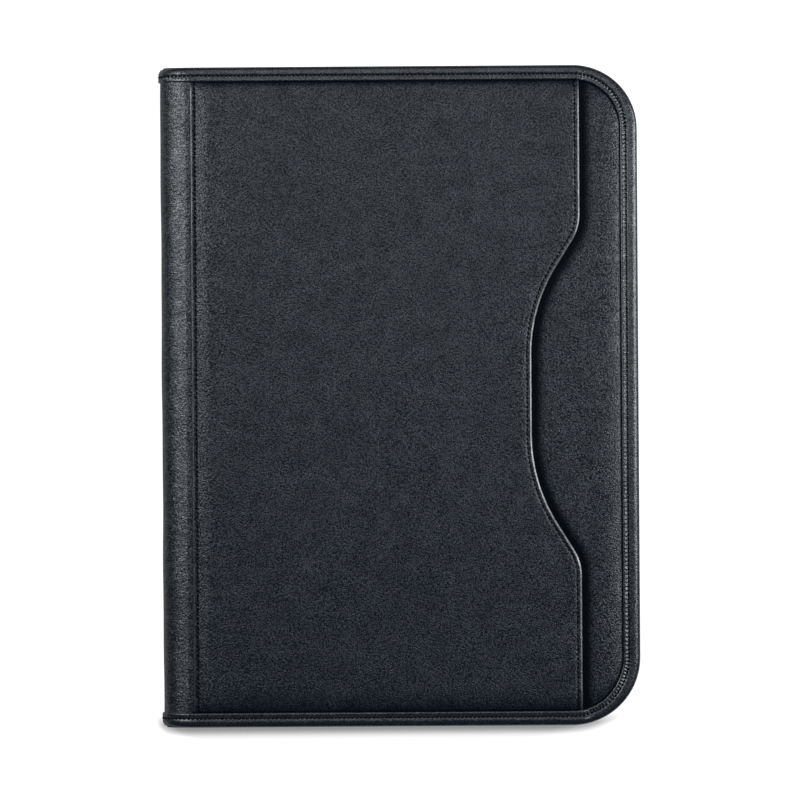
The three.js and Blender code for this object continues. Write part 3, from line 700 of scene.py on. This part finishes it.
def make_pocket_panel():
    near = np.concatenate([[-4.4, -2.5, -0.8], CROWN_STEPS, [14.0]])
    ends = HALF_HEIGHT - SEAM - near
    field = np.linspace(ends[-1], -ends[-1], 200)[1:-1]
    rows = np.concatenate([ends, field, -ends[::-1]])
    edge = np.array([
        0.5, 0.8, 1.2, 1.6, 1.9, 2.1, 2.3, 2.5, 2.7, 3.0, 3.4, 3.9, 4.6, 5.4, 6.4, 7.6, 9.0, 10.6, 12.4,
        14.4, 16.6,
    ])
    turn = np.radians(np.linspace(-90, 90, 9))
    rings = []
    for y in rows:
        right, slant = float(mouth_x(y)), float(mouth_slant(y))
        middle = np.linspace(FOLD_X + edge[-1], right - edge[-1] * slant, 92)[1:-1]
        x = np.concatenate([FOLD_X + edge, middle, right - edge[::-1] * slant])
        upper = pocket_top(x, np.full_like(x, y))
        lower_x = np.linspace(x[-1], x[0], 24)
        lower = front_base(lower_x, np.full_like(lower_x, y)) + POCKET_GAP

        def lip(at, top, bottom, outward):
            reach = edge[0] * (slant if outward > 0 else 1)
            swing = turn[1:-1][::-outward]
            height = (top + bottom) / 2 + (top - bottom) / 2 * np.sin(swing)
            return points(at + outward * reach * np.cos(swing), height)

        loop = np.concatenate([
            points(x, upper),
            lip(x[-1], upper[-1], lower[0], 1),
            points(lower_x, lower),
            lip(x[0], upper[0], lower[-1], -1),
        ])
        rings.append(points(loop[:, 0], y, loop[:, 1]))
    piece = rolled("front_pocket_panel_sewn", np.stack(rings))
    finish_piece(
        piece, COVER_LEATHER, "front_cover", "leatherette", "front_pocket_panel", "front_pocket_lining"
    )
    paint_recess_shade(piece, pocket_painted_shade)
    ends = np.concatenate([rows, rows[::-1]])
    sides = np.concatenate([np.full(len(rows), FOLD_X), mouth_x(rows[::-1])])
    declare_sheet(piece, points(sides, ends), "laid", "front_leather_padded")
    # Painted highlights along the lips of the pocket's mouth and fold.
    paint_lip_highlights(piece, (BRIGHT_LIP_HIGHLIGHT, mouth_distance, 0.7), (DIM_LIP_HIGHLIGHT, lambda x, y: x - FOLD_X, 0.6))


def make_pocket_stitches():
    end = HALF_HEIGHT - SEAM
    y = np.linspace(-end, end, 700)
    for name, x in (
        ("fold_stitches", np.full_like(y, FOLD_X + POCKET_ROW)),
        ("mouth_stitches", mouth_x(y) - POCKET_ROW * mouth_slant(y)),
    ):
        path = points(x, y, pocket_top(x, y) + 0.1)
        kind = {"pitch": POCKET_PITCH, "tilt": 20, "girth": POCKET_THREAD}
        sew(name, path, (0, 0, 1), MATT_THREAD_PAINTED_SHADE, "front_cover", "leatherette", **kind)


# ---- Binding tape

# The tape's section. Each point is at a distance from the outer edge or from the inner one,
# and at a depth below the tape's face.
FLANGE_FROM_INNER = [
    (0.0, 0.5), (0.08, 0.22), (0.25, 0.06), (0.55, -0.02), (1.0, -0.04), (1.3, 0.01), (1.7, 0.1), (2.1, 0.21),
    (2.5, 0.31), (TAPE_ROW, 0.38), (3.15, 0.3), (3.45, 0.1), (3.8, 0.0), (4.4, -0.04),
]
FLANGE_FROM_OUTER = [
    (2.9, -0.05), (2.2, 0.02), (1.6, 0.14), (1.1, 0.34), (0.7, 0.6), (0.35, 1.0), (0.1, 1.5), (0.0, 2.1),
]
TAPE = 0.8
TAPE_CUT = 0.2
END_GROOVE = 0.6


def tape_section(width, outer, inner, sign, groove):
    """Loop of the tape's section at each station: distance in from the edge, and height.

    Groove is how far its stitches pull it down.
    """
    loop = [(width - d, outer - sign * depth * (groove if d > 1.2 else 1)) for d, depth in FLANGE_FROM_INNER]
    loop += [(d, outer - sign * depth) for d, depth in FLANGE_FROM_OUTER]
    loop += [(d, inner + sign * depth) for d, depth in FLANGE_FROM_OUTER[::-2]]
    loop += [(TAPE_WIDTH_INSIDE - d, inner + sign * depth) for d, depth in FLANGE_FROM_INNER[::-2]]
    loop += [
        (TAPE_WIDTH_INSIDE - TAPE_CUT, inner + sign * TAPE), (TAPE, inner + sign * TAPE),
        (TAPE, outer - sign * TAPE), (width - TAPE_CUT, outer - sign * TAPE),
    ]
    return np.stack([points(*pair) for pair in loop], axis=1)


def edge_stations(spacing):
    """Stations along a cover's edge from the spine along the top, the opening edge and the bottom."""
    top, bottom = TOP_CORNER, BOTTOM_CORNER
    upper_run = np.linspace(SPINE_X, HALF_WIDTH - top, round((HALF_WIDTH - top - SPINE_X) / spacing))[:-1]
    lower_run = np.linspace(HALF_WIDTH - bottom, SPINE_X, round((HALF_WIDTH - bottom - SPINE_X) / spacing))[1:]
    length = 2 * HALF_HEIGHT - top - bottom
    side = np.linspace(HALF_HEIGHT - top, bottom - HALF_HEIGHT, round(length / spacing))[1:-1]
    turn = np.radians(np.linspace(90, 0, round(top * math.pi / 2 / spacing)))
    upper = points(np.cos(turn), np.sin(turn))
    turn = np.radians(np.linspace(0, 90, round(bottom * math.pi / 2 / spacing)))
    lower = points(np.cos(turn), -np.sin(turn))
    at = np.concatenate([
        points(upper_run, HALF_HEIGHT),
        upper * top + (HALF_WIDTH - top, HALF_HEIGHT - top),
        points(HALF_WIDTH, side),
        lower * bottom + (HALF_WIDTH - bottom, bottom - HALF_HEIGHT),
        points(lower_run, -HALF_HEIGHT),
    ])
    inward = np.concatenate([
        points(0 * upper_run, -1), -upper, points(-1, 0 * side), -lower, points(0 * lower_run, 1),
    ])
    return at, inward


def tape_width(inward):
    """The tape is wider along the opening edge than along the ends."""
    return TAPE_WIDTH_ENDS + (TAPE_WIDTH_SIDE - TAPE_WIDTH_ENDS) * inward[:, 0] ** 2


def front_tape_top(x):
    """Face of the front tape, which steps up over the pocket panel."""
    over = ramp(x, FOLD_X - 7, FOLD_X + 3) * (1 - ramp(x, MOUTH_EDGE_X - 0.5, MOUTH_EDGE_X + 6))
    return FRONT_TAPE_TOP - TAPE_STEP * (1 - over) - shoulder_drop(x) * TAPE_RADIUS / SPINE_RADIUS


def back_tape_face(x):
    """Face of the back tape, which lies level."""
    return np.full_like(x, BACK_TAPE_OUTER)


def puckers(section, width, length, sign):
    """Draws the tape in between the stitches."""
    wave = np.cos(2 * math.pi * length / TAPE_PITCH)
    from_inner = width[:, None] - section[..., 0]
    count = len(FLANGE_FROM_INNER) + len(FLANGE_FROM_OUTER)
    pull = 0.17 * wave[:, None] * ridge(from_inner, 2.2, 0.85)
    section[:, :count, 1] -= sign * pull[:, :count]
    return section


def lay_section(section, at, inward):
    """Places a tape section at stations in the plane of a cover."""
    places = at[:, None] + inward[:, None] * section[..., :1]
    return np.concatenate([places, section[..., 1:]], axis=-1)


def make_cover_binding(side, spacing, outer, inner, sign):
    name, body, node = f"{side}_binding_tape", f"{side}_cover", f"{side}_binding"
    at, inward = edge_stations(spacing)
    width = tape_width(inward)
    length = np.concatenate([[0], np.cumsum(np.linalg.norm(np.diff(at, axis=0), axis=1))])
    height = outer(at[:, 0])
    groove = END_GROOVE + (1 - END_GROOVE) * inward[:, 0] ** 2
    section = tape_section(width, height, np.full_like(width, inner), sign, groove)
    section = puckers(section, width, length, sign)
    piece = rolled(name, lay_section(section, at, inward))
    paint_recess_shade(piece, tape_painted_shade)
    finish_piece(piece, TAPE_LEATHER, body, "binding_tape", node)
    seam = at + inward * (width - TAPE_ROW)[:, None]
    path = points(seam[:, 0], seam[:, 1], height - sign * TAPE_SINK)
    sew(f"{name}_stitches", path, (0, 0, sign), MATT_THREAD_PAINTED_SHADE, body, "binding_tape", girth=TAPE_THREAD)


# ---- Spine

HALVES = {
    "back": (0.0, 90.0, "back_cover", "spine"),
    "front": (90.0, 180.0, "spine", "front_cover"),
}
BEND_START, BEND_END = 22.0, 70.0


def spine_place(angle, radius, y):
    """A point of the spine from its angle in degrees up from the back cover."""
    a = np.radians(angle)
    skin = SPINE_X - SPINE_RADIUS * np.sin(a)
    round_height = np.sqrt(np.clip(1 - ((skin - SPINE_X) / SPINE_RADIUS) ** 2, 1e-9, 1))
    first = (SHOULDER_X - SPINE_X + SPINE_RADIUS) / SPINE_RADIUS
    bow = np.where(round_height > 0.02, shoulder(skin) / np.maximum(round_height, 0.02), 1 / math.sqrt(first))
    outside = ramp(radius, LINING_OUTER, SPINE_RADIUS)
    bow = np.where(a > math.pi / 2, 1 - (1 - bow) * outside, 1.0)
    return points(SPINE_X - radius * np.sin(a), y, SPINE_Z - radius * np.cos(a) * bow)


def spine_bend(half):
    """Bodies of one half of the spine, and the two points between which it bends."""
    _, _, first, second = HALVES[half]
    stops = (BEND_START, BEND_END) if half == "back" else (180 - BEND_END, 180 - BEND_START)
    start, end = (spine_place(stop, SPINE_RADIUS, 0.0) * MM for stop in stops)
    return first, second, tuple(start), tuple(end)


def spine_angles(half):
    low, high = HALVES[half][:2]
    return np.sort(np.concatenate([np.linspace(low, high, 34), [low + 0.4, high - 0.4]]))


def make_spine_leather(half):
    """Leather over padding across one half of the spine, running on to its cover."""
    angles = spine_angles(half)
    sign = -1 if half == "back" else 1
    if half == "front":
        angles = angles[::-1]
    flat = np.linspace(JOIN_X, SPINE_X, 9)[:-1]
    edge = SPINE_LOW if half == "back" else SPINE_HIGH
    leather = SPINE_HIGH - FRONT_BASE_LOW
    end = HALF_HEIGHT - CUT_EDGE
    rings = []
    for y in np.linspace(-end, end, 160):
        wave = 0.10 * math.sin(y / 17 + 0.8) + 0.06 * math.sin(y / 7.3)
        swollen = SPINE_RADIUS + wave * np.sin(np.radians(angles)) ** 2
        skin_z = skin_level_at(flat, y) if half == "front" else edge + 0 * flat
        outer = spine_place(angles, swollen, y)
        inner = spine_place(angles[::-1], PADDING_INNER, y)
        under = points(flat[::-1], y, edge - sign * leather)
        rings.append(np.concatenate([points(flat, y, skin_z), outer, inner, under]))
    piece = rolled(f"spine_leather_{half}_half", np.stack(rings))
    nodes = {
        "back": ("spine_leather_back", "spine_padding_back", "spine_leather_middle", "spine_padding_middle"),
        "front": ("spine_leather_front", "spine_padding_front"),
    }[half]
    finish_piece(piece, SPINE_LEATHER, spine_bend(half), "leatherette", *nodes)


def make_spine_lining(half):
    angles = spine_angles(half)
    end = HALF_HEIGHT - CUT_EDGE
    rings = [
        np.concatenate([spine_place(angles, LINING_OUTER, y), spine_place(angles[::-1], LINING_INNER, y)])
        for y in np.linspace(-end, end, 12)
    ]
    piece = rolled(f"spine_lining_{half}_half", np.stack(rings))
    nodes = ("spine_lining_back", "spine_lining_middle") if half == "back" else ("spine_lining_front",)
    finish_piece(piece, LINING_CLOTH, spine_bend(half), "lining", *nodes)


def make_spine_binding(half, end_name, side):
    """The tape over one end of the spine, rounded off towards the end."""
    low, high = HALVES[half][:2]
    arc = TAPE_RADIUS * math.pi / 2
    count = round(arc / 0.5)
    angles = np.linspace(low, high, count)
    width = np.full(count, TAPE_WIDTH_ENDS)
    inside = np.full(count, LINING_INNER - SPINE_TAPE_GAP)
    section = tape_section(width, np.full(count, TAPE_RADIUS), inside, 1, END_GROOVE)
    section = puckers(section, width, np.radians(angles) * TAPE_RADIUS, 1)
    u, r = section[..., 0], section[..., 1]
    inwards = np.clip((SPINE_END_ROUND - u) / SPINE_END_ROUND, 0, 1)
    round_off = SPINE_END_DROP * (1 - np.sqrt(1 - inwards**2)) * np.sin(np.radians(angles))[:, None]
    outside = (r > (TAPE_RADIUS + LINING_INNER) / 2)
    radius = r - np.where(outside, round_off, 0)
    rings = spine_place(angles[:, None], radius, side * (HALF_HEIGHT - u))
    name = f"spine_binding_{end_name}_{half}_half"
    piece = rolled(name, rings)
    nodes = [f"spine_binding_{end_name}_{half}"]
    if half == "back":
        nodes.append(f"spine_binding_{end_name}_middle")
    paint_recess_shade(piece, tape_painted_shade)
    finish_piece(piece, TAPE_LEATHER, spine_bend(half), "binding_tape", *nodes)
    y = side * (HALF_HEIGHT - TAPE_WIDTH_ENDS + TAPE_ROW)
    path = spine_place(angles, TAPE_RADIUS - TAPE_SINK, y)
    outward = spine_place(angles, 1.0, y) - spine_place(angles, 0.0, y)
    sew(f"{name}_stitches", path, outward, MATT_THREAD_PAINTED_SHADE, spine_bend(half), "binding_tape", girth=TAPE_THREAD)


# ---- Inside the covers

def inset(outline, distance):
    """An outline that runs anticlockwise, moved in, with mitred corners."""
    def inward(start, end):
        run = (end - start) / np.linalg.norm(end - start, axis=1)[:, None]
        return points(-run[:, 1], run[:, 0])

    n = inward(np.roll(outline, 1, 0), outline) + inward(outline, np.roll(outline, -1, 0))
    return outline + distance * 2 * n / (n**2).sum(1)[:, None]


def rounded_rectangle(low, high, d, radius):
    """A box's outline seen from above, moved in, with round corners."""
    left, bottom = low[0] + d + radius, low[1] + d + radius
    right, top = high[0] - d - radius, high[1] - d - radius
    turn = np.radians(np.linspace(0, 90, 7))
    loop = []
    for k, (x, y) in enumerate(((right, bottom), (right, top), (left, top), (left, bottom))):
        a = turn + (k - 1) * math.pi / 2
        loop.append(points(x + radius * np.cos(a), y + radius * np.sin(a)))
    return np.concatenate(loop)


def stepped(name, ring_at, steps):
    """A skin over an outline that is moved in step by step. Each step is a distance and a height."""
    rings = [(ring_at(distance), z) for distance, z in steps]
    return rolled(name, np.stack([points(ring[:, 0], ring[:, 1], z) for ring, z in rings]))


def thin_panel(name, ring_at, near, far, border=8.0, groove=0.14):
    """A panel with a turned edge, a sewn groove and a flat field.

    Near is its seen face, and ring_at gives its outline moved in.
    """
    out = 1 if near > far else -1
    thick = abs(near - far)
    steps = [
        (0.25, far), (0.0, (near + far) / 2), (0.07, near - out * 0.3 * thick), (0.3, near),
        (1.5, near), (2.0, near - out * 0.5 * groove), (INNER_ROW, near - out * groove),
        (2.6, near - out * 0.5 * groove),
        (2.62 if border < 3.2 else 3.2, near), (border, near),
    ]
    return stepped(name, ring_at, steps)


def sew_round(name, ring, height, out, body):
    """Sews inner leather down along a closed ring, on the side that faces up or down."""
    path = np.concatenate([ring, ring[:1]])
    path = points(path[:, 0], path[:, 1], height)
    sew(name, path, (0, 0, out), BLACK_THREAD, body, "inner_leatherette", pitch=INNER_PITCH)


def panel_stitches(node, ring_at, near, far, body):
    """The row of stitches that holds a panel of inner leather down."""
    out = 1 if near > far else -1
    sew_round(f"{node}_stitches", ring_at(INNER_ROW), near + out * INNER_RISE, out, body)


def sewn_panel(node, ring_at, near, far, body, carrier):
    """A panel of inner leather, laid on its carrier, with its stitches."""
    piece = thin_panel(f"{node}_leather", ring_at, near, far)
    finish_piece(piece, INNER_LEATHER, body, "inner_leatherette", node)
    declare_sheet(piece, ring_at(0), "laid", carrier)
    panel_stitches(node, ring_at, near, far, body)
    return piece


def outline_of(offset, left):
    """Outline of a sheet inside a cover, with few points."""
    _, end, _, _, lower, upper = round_corners(offset, 16)
    return np.concatenate([[(left, -end)], lower, upper, [(left, end)]])


def make_lining(side):
    low, high = corners(f"{side}_lining")
    near, far = (high[2], low[2]) if side == "back" else (low[2], high[2])
    outline = outline_of(CUT_EDGE, low[0])
    piece = thin_panel(f"{side}_lining_cloth", lambda d: inset(outline, d), near, far, border=4.0, groove=0.0)
    finish_piece(piece, LINING_CLOTH, f"{side}_cover", "lining", f"{side}_lining")
    declare_sheet(piece, outline, "stretched", f"{side}_board")


def make_pad_panel():
    low, high = corners("pad_panel")
    outline = outline_of(HALF_WIDTH - high[0], low[0])
    sewn_panel("pad_panel", lambda d: inset(outline, d), high[2], low[2], "back_cover", "back_lining_cloth")


NOTCH_RADIUS = 16.0


def pad_pocket_ring(d):
    """The pad pocket's outline moved in. Its thumb notch stays a clean arc."""
    low, high = corners("pad_pocket")
    middle, top, radius = (low[0] + high[0]) / 2, high[1], NOTCH_RADIUS + d
    start = math.asin(d / radius)
    turn = -np.linspace(start, math.pi - start, 25)
    box = [(low[0] + d, low[1] + d), (high[0] - d, low[1] + d), (high[0] - d, top - d)]
    notch = points(middle + radius * np.cos(turn), top + radius * np.sin(turn))
    return np.concatenate([box, notch, [(low[0] + d, top - d)]])


def make_pad_pocket():
    """The slot pocket for the pad, with a thumb notch and low walls on three sides."""
    low, high = corners("pad_pocket")
    middle, top, near = (low[0] + high[0]) / 2, high[1], high[2]
    roof = near - 0.6
    outline = pad_pocket_ring(0.0)
    mouth = np.concatenate([[False] * 2, [True] * (len(outline) - 2)])
    foot = np.where(mouth, roof, low[2])
    steps = [(0.8, roof), (0.8, foot), (0.0, foot), (0.0, near - 0.25), (0.08, near - 0.08), (0.3, near),
             (1.6, near), (2.0, near - 0.08), (2.3, near - 0.15), (2.6, near - 0.08), (3.2, near), (9.0, near)]
    piece = stepped("pad_pocket_leather", pad_pocket_ring, steps)
    finish_piece(piece, INNER_LEATHER, "back_cover", "inner_leatherette", "pad_pocket")
    # Painted highlight along the pocket's lip and thumb notch.
    paint_lip_highlights(piece, (
        DIM_LIP_HIGHLIGHT, lambda x, y: np.minimum(top - y, np.hypot(x - middle, y - top) - NOTCH_RADIUS), LIP_REACH
    ))
    wall = near - low[2]
    unfolded = outline + (outline - (middle, top)) * (outline < top) * wall / 150
    declare_sheet(piece, unfolded, "laid", "pad_panel_leather")
    panel_stitches("pad_pocket", pad_pocket_ring, near, roof, "back_cover")


def make_document_pocket():
    """The large pocket with a slanted mouth, and the turned strip along that mouth."""
    low, high = corners("document_pocket")
    trim_low, trim_high = corners("document_pocket_trim")
    left_edge = trim_low[1] + TRIM_STRIP
    whole = outline_of(HALF_WIDTH - high[0], low[0])
    lower = whole[whole[:, 1] < 0]
    mouth = np.array([(high[0], high[1]), (low[0], left_edge)])
    outline = np.concatenate([lower, mouth])
    behind = "front_lining_cloth"
    sewn_panel("document_pocket", lambda d: inset(outline, d), low[2], high[2], "front_cover", behind)
    band = np.concatenate([mouth[::-1] - (0, TRIM_STRIP), mouth])
    near, far = trim_low[2], trim_high[2]
    piece = thin_panel("document_trim_leather", lambda d: inset(band, d), near, far, border=2.7, groove=0.1)
    finish_piece(piece, COVER_LEATHER, "front_cover", "leatherette", "document_pocket_trim")
    path = points(mouth[::-1, 0], mouth[::-1, 1] - TRIM_STRIP + 1.4, near + INNER_RISE)
    sew("document_trim_stitches", path, (0, 0, -1), BLACK_THREAD, "front_cover", "leatherette", pitch=INNER_PITCH)


def make_card_pockets():
    for index in (1, 2, 3):
        node = f"card_pocket_{index}"
        low, high = corners(node)

        def ring_at(d):
            return rounded_rectangle(low, high, d, max(3.0 - d, 0.4))

        behind = "front_lining_cloth" if index == 1 else f"card_pocket_{index - 1}_leather"
        piece = sewn_panel(node, ring_at, low[2], high[2], "front_cover", behind)
        # Painted highlight along the pocket's top lip.
        paint_lip_highlights(piece, (DIM_LIP_HIGHLIGHT, lambda x, y: high[1] - y, LIP_REACH))


def make_id_frame():
    """The border of the identity pocket, a leather frame sewn over the clear film."""
    low, high = corners("id_pocket_frame")
    near, far = low[2], high[2]
    steps = [(0.2, far), (0.0, (near + far) / 2), (0.2, near), (1.5, near), (1.9, near + 0.1), (2.2, near),
             (5.7, near), (6.0, (near + far) / 2), (5.8, far), (0.2, far)]

    def ring_at(d):
        return rounded_rectangle(low, high, d, FRAME_CORNER)

    piece = stepped("id_frame_leather", ring_at, steps)
    finish_piece(piece, INNER_LEATHER, "front_cover", "inner_leatherette", "id_pocket_frame")
    sew_round("id_frame_stitches", inset(ring_at(0), 1.9), near + INNER_RISE, -1, "front_cover")


def make_pen_loop():
    """An elastic strap: its tab runs in from the organizer and its end rolls round into a loop."""
    low, high = corners("pen_loop")
    radius = SPINE_X - low[0] - ELASTIC_HALF
    tab = high[2] - ELASTIC_HALF
    turn = np.radians(np.linspace(58, 410, 54))
    ring = points(SPINE_X + radius * np.cos(turn), SPINE_Z + radius * np.sin(turn))
    path = np.concatenate([[(high[0], tab)], [(SPINE_X + 8.5, tab)], [(SPINE_X + 6.0, tab - 0.6)], ring])
    run = np.gradient(path, axis=0)
    normal = points(-run[:, 1], run[:, 0]) / np.linalg.norm(run, axis=1)[:, None]
    half = (high[1] - low[1]) / 2
    edge = [(half, 0.12), (half - 0.25, 0.33), (0.25 - half, 0.33), (-half, 0.12),
            (-half, -0.12), (0.25 - half, -0.33), (half - 0.25, -0.33), (half, -0.12)]
    rings = [
        [(p[0] + n[0] * t, y, p[1] + n[1] * t) for y, t in edge] for p, n in zip(path, normal)
    ]
    piece = rolled("pen_loop_elastic", np.array(rings))
    finish_piece(piece, ELASTIC, "front_cover", "elastic", "pen_loop")


def dress_hard_nodes():
    """Gives the CAD pieces that stay their finishes."""
    for node, material in (
        ("back_board", GREYBOARD), ("front_board", GREYBOARD), ("pad_backing", PAD_CARD), ("pad_paper", PAPER),
        ("pad_header_tape", HEADER_CLOTH), ("id_window", FILM),
    ):
        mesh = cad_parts[node].data
        mesh.materials.clear()
        mesh.materials.append(material)


# ---- Studio

PIXEL = 0.5 * MM
CAMERA_DISTANCE = 2.4
LENS = 216.4
CAMERA_ROLL = math.radians(0.39)
CAMERA_SHIFT = (1.4 * PIXEL, -3.8 * PIXEL)
FLOOR_LEVEL = -0.4
FLOOR_SIZE = 8
FLOOR_GLOW = 0.8

# The contact shadow: how far it reaches and fades in millimetres, where the floor faces for it, how much is
# open there where the shadow is darkest and where it ends, and its depth.
CONTACT_SHADOW = 10.0
CONTACT_FADE = 5.0
CONTACT_NORMAL = (0.0, 0.93, 0.36)
CONTACT_OPEN = (0.735, 0.92)
CONTACT_DEPTH = 0.64

# Place and size in metres, and power in watts.
SOFTBOXES = {
    "overhead_softbox": ((0.0, 0.17, 1.15), (0.3, 0.2), 0.58),
    "upper_softbox": ((0.0, 0.42, 1.1), (0.4, 0.2), 0.4),
    "top_softbox": ((0.0, 0.75, 1.0), (0.9, 0.3), 0.9),
    "left_softbox": ((-0.70, 0.26, 1.05), (0.2, 0.3), 3.9),
    "right_softbox": ((0.70, 0.04, 1.05), (0.2, 0.4), 3.3),
    "left_fill": ((-1.05, 0.4, 0.7), (0.25, 0.6), 2.0),
    "right_fill": ((1.05, 0.25, 0.7), (0.25, 0.6), 4.8),
}


def make_camera():
    data = bpy.data.cameras.new("camera")
    data.lens, data.sensor_width = LENS, 36.0
    camera = bpy.data.objects.new("camera", data)
    bpy.context.collection.objects.link(camera)
    camera.location = (*CAMERA_SHIFT, CAMERA_DISTANCE + cad_high[2])
    camera.rotation_euler = (0, 0, -CAMERA_ROLL)
    bpy.context.scene.camera = camera


def add_softbox(name, place, size, power):
    """A rectangular lamp aimed at the middle of the folio."""
    data = bpy.data.lights.new(name, "AREA")
    data.shape, data.size, data.size_y, data.energy = "RECTANGLE", *size, power
    lamp = bpy.data.objects.new(name, data)
    bpy.context.collection.objects.link(lamp)
    lamp.location = place
    towards = -np.array(place, float)
    x, y, z = towards / np.linalg.norm(towards)
    lamp.rotation_euler = (math.acos(-z), 0, math.atan2(-x, y))


def make_floor():
    """A white floor with a painted contact shadow along the folio's lower edge: occlusion, kept to a strip below
    that edge, darkens its colour and its glow.
    """
    bpy.ops.object.select_all(action="DESELECT")
    bpy.ops.mesh.primitive_plane_add(size=FLOOR_SIZE, location=(0, 0, FLOOR_LEVEL * MM))
    floor = bpy.context.active_object
    floor.name = "floor"
    material, tree, shader, places = new_material("white_floor", Roughness=0.9)
    path = add(tree, "ShaderNodeLightPath")
    glow = add(tree, "ShaderNodeEmission", Color=(1, 1, 1, 1))
    lit = add(tree, "ShaderNodeAmbientOcclusion", Distance=CONTACT_SHADOW * MM, samples=48)
    lit.inputs["Normal"].default_value = CONTACT_NORMAL
    seen = spread(tree, path.outputs["Is Camera Ray"], 0.0, FLOOR_GLOW)
    # Painted shadow: kept to a strip below the folio's lower edge.
    along = pattern(tree, "ShaderNodeSeparateXYZ", places).outputs["Y"]
    below = spread(tree, along, 1.0, 0.0, -HALF_HEIGHT * MM, (CONTACT_FADE - HALF_HEIGHT) * MM)
    clear = combine(tree, "POWER", spread(tree, lit.outputs["AO"], 0.0, 1.0, *CONTACT_OPEN), 2.0)
    hidden = combine(tree, "MULTIPLY", spread(tree, clear, CONTACT_DEPTH, 0.0), below)
    shadow = combine(tree, "SUBTRACT", 1.0, hidden)
    tint(tree, shader, shadow, (0.2, 0.2, 0.2), (0.8, 0.8, 0.8))
    tree.links.new(combine(tree, "MULTIPLY", seen, shadow), glow.inputs["Strength"])
    both = add(tree, "ShaderNodeAddShader")
    tree.links.new(shader.outputs["BSDF"], both.inputs[0])
    tree.links.new(glow.outputs["Emission"], both.inputs[1])
    tree.links.new(both.outputs["Shader"], tree.nodes["Material Output"].inputs["Surface"])
    floor.data.materials.append(material)


def make_world():
    """White where the camera sees it, and nearly dark for the lit pieces."""
    world = bpy.data.worlds.new("studio")
    bpy.context.scene.world = world
    world.use_nodes = True
    tree = world.node_tree
    background = tree.nodes["Background"]
    path = add(tree, "ShaderNodeLightPath")
    seen = combine(tree, "MAXIMUM", path.outputs["Is Camera Ray"], path.outputs["Is Transmission Ray"])
    tree.links.new(spread(tree, seen, 0.01, 1.0), background.inputs["Strength"])
    background.inputs["Color"].default_value = (1, 1, 1, 1)


def make_studio():
    bpy.context.scene.view_settings.view_transform = "Standard"
    make_camera()
    for name, lamp in SOFTBOXES.items():
        add_softbox(name, *lamp)
    make_floor()
    make_world()


# ---- Assembly

make_front_leather()
make_back_leather()
make_pocket_panel()
make_pocket_stitches()
make_cover_binding("front", 0.525, front_tape_top, FRONT_TAPE_INNER, 1)
make_cover_binding("back", 1.4, back_tape_face, BACK_TAPE_INNER, -1)
for spine_half in HALVES:
    make_spine_leather(spine_half)
    make_spine_lining(spine_half)
    for spine_end, spine_side in (("top", 1), ("bottom", -1)):
        make_spine_binding(spine_half, spine_end, spine_side)
for cover_side in ("back", "front"):
    make_lining(cover_side)
make_pad_panel()
make_pad_pocket()
make_document_pocket()
make_card_pockets()
make_id_frame()
make_pen_loop()
dress_hard_nodes()
make_studio()
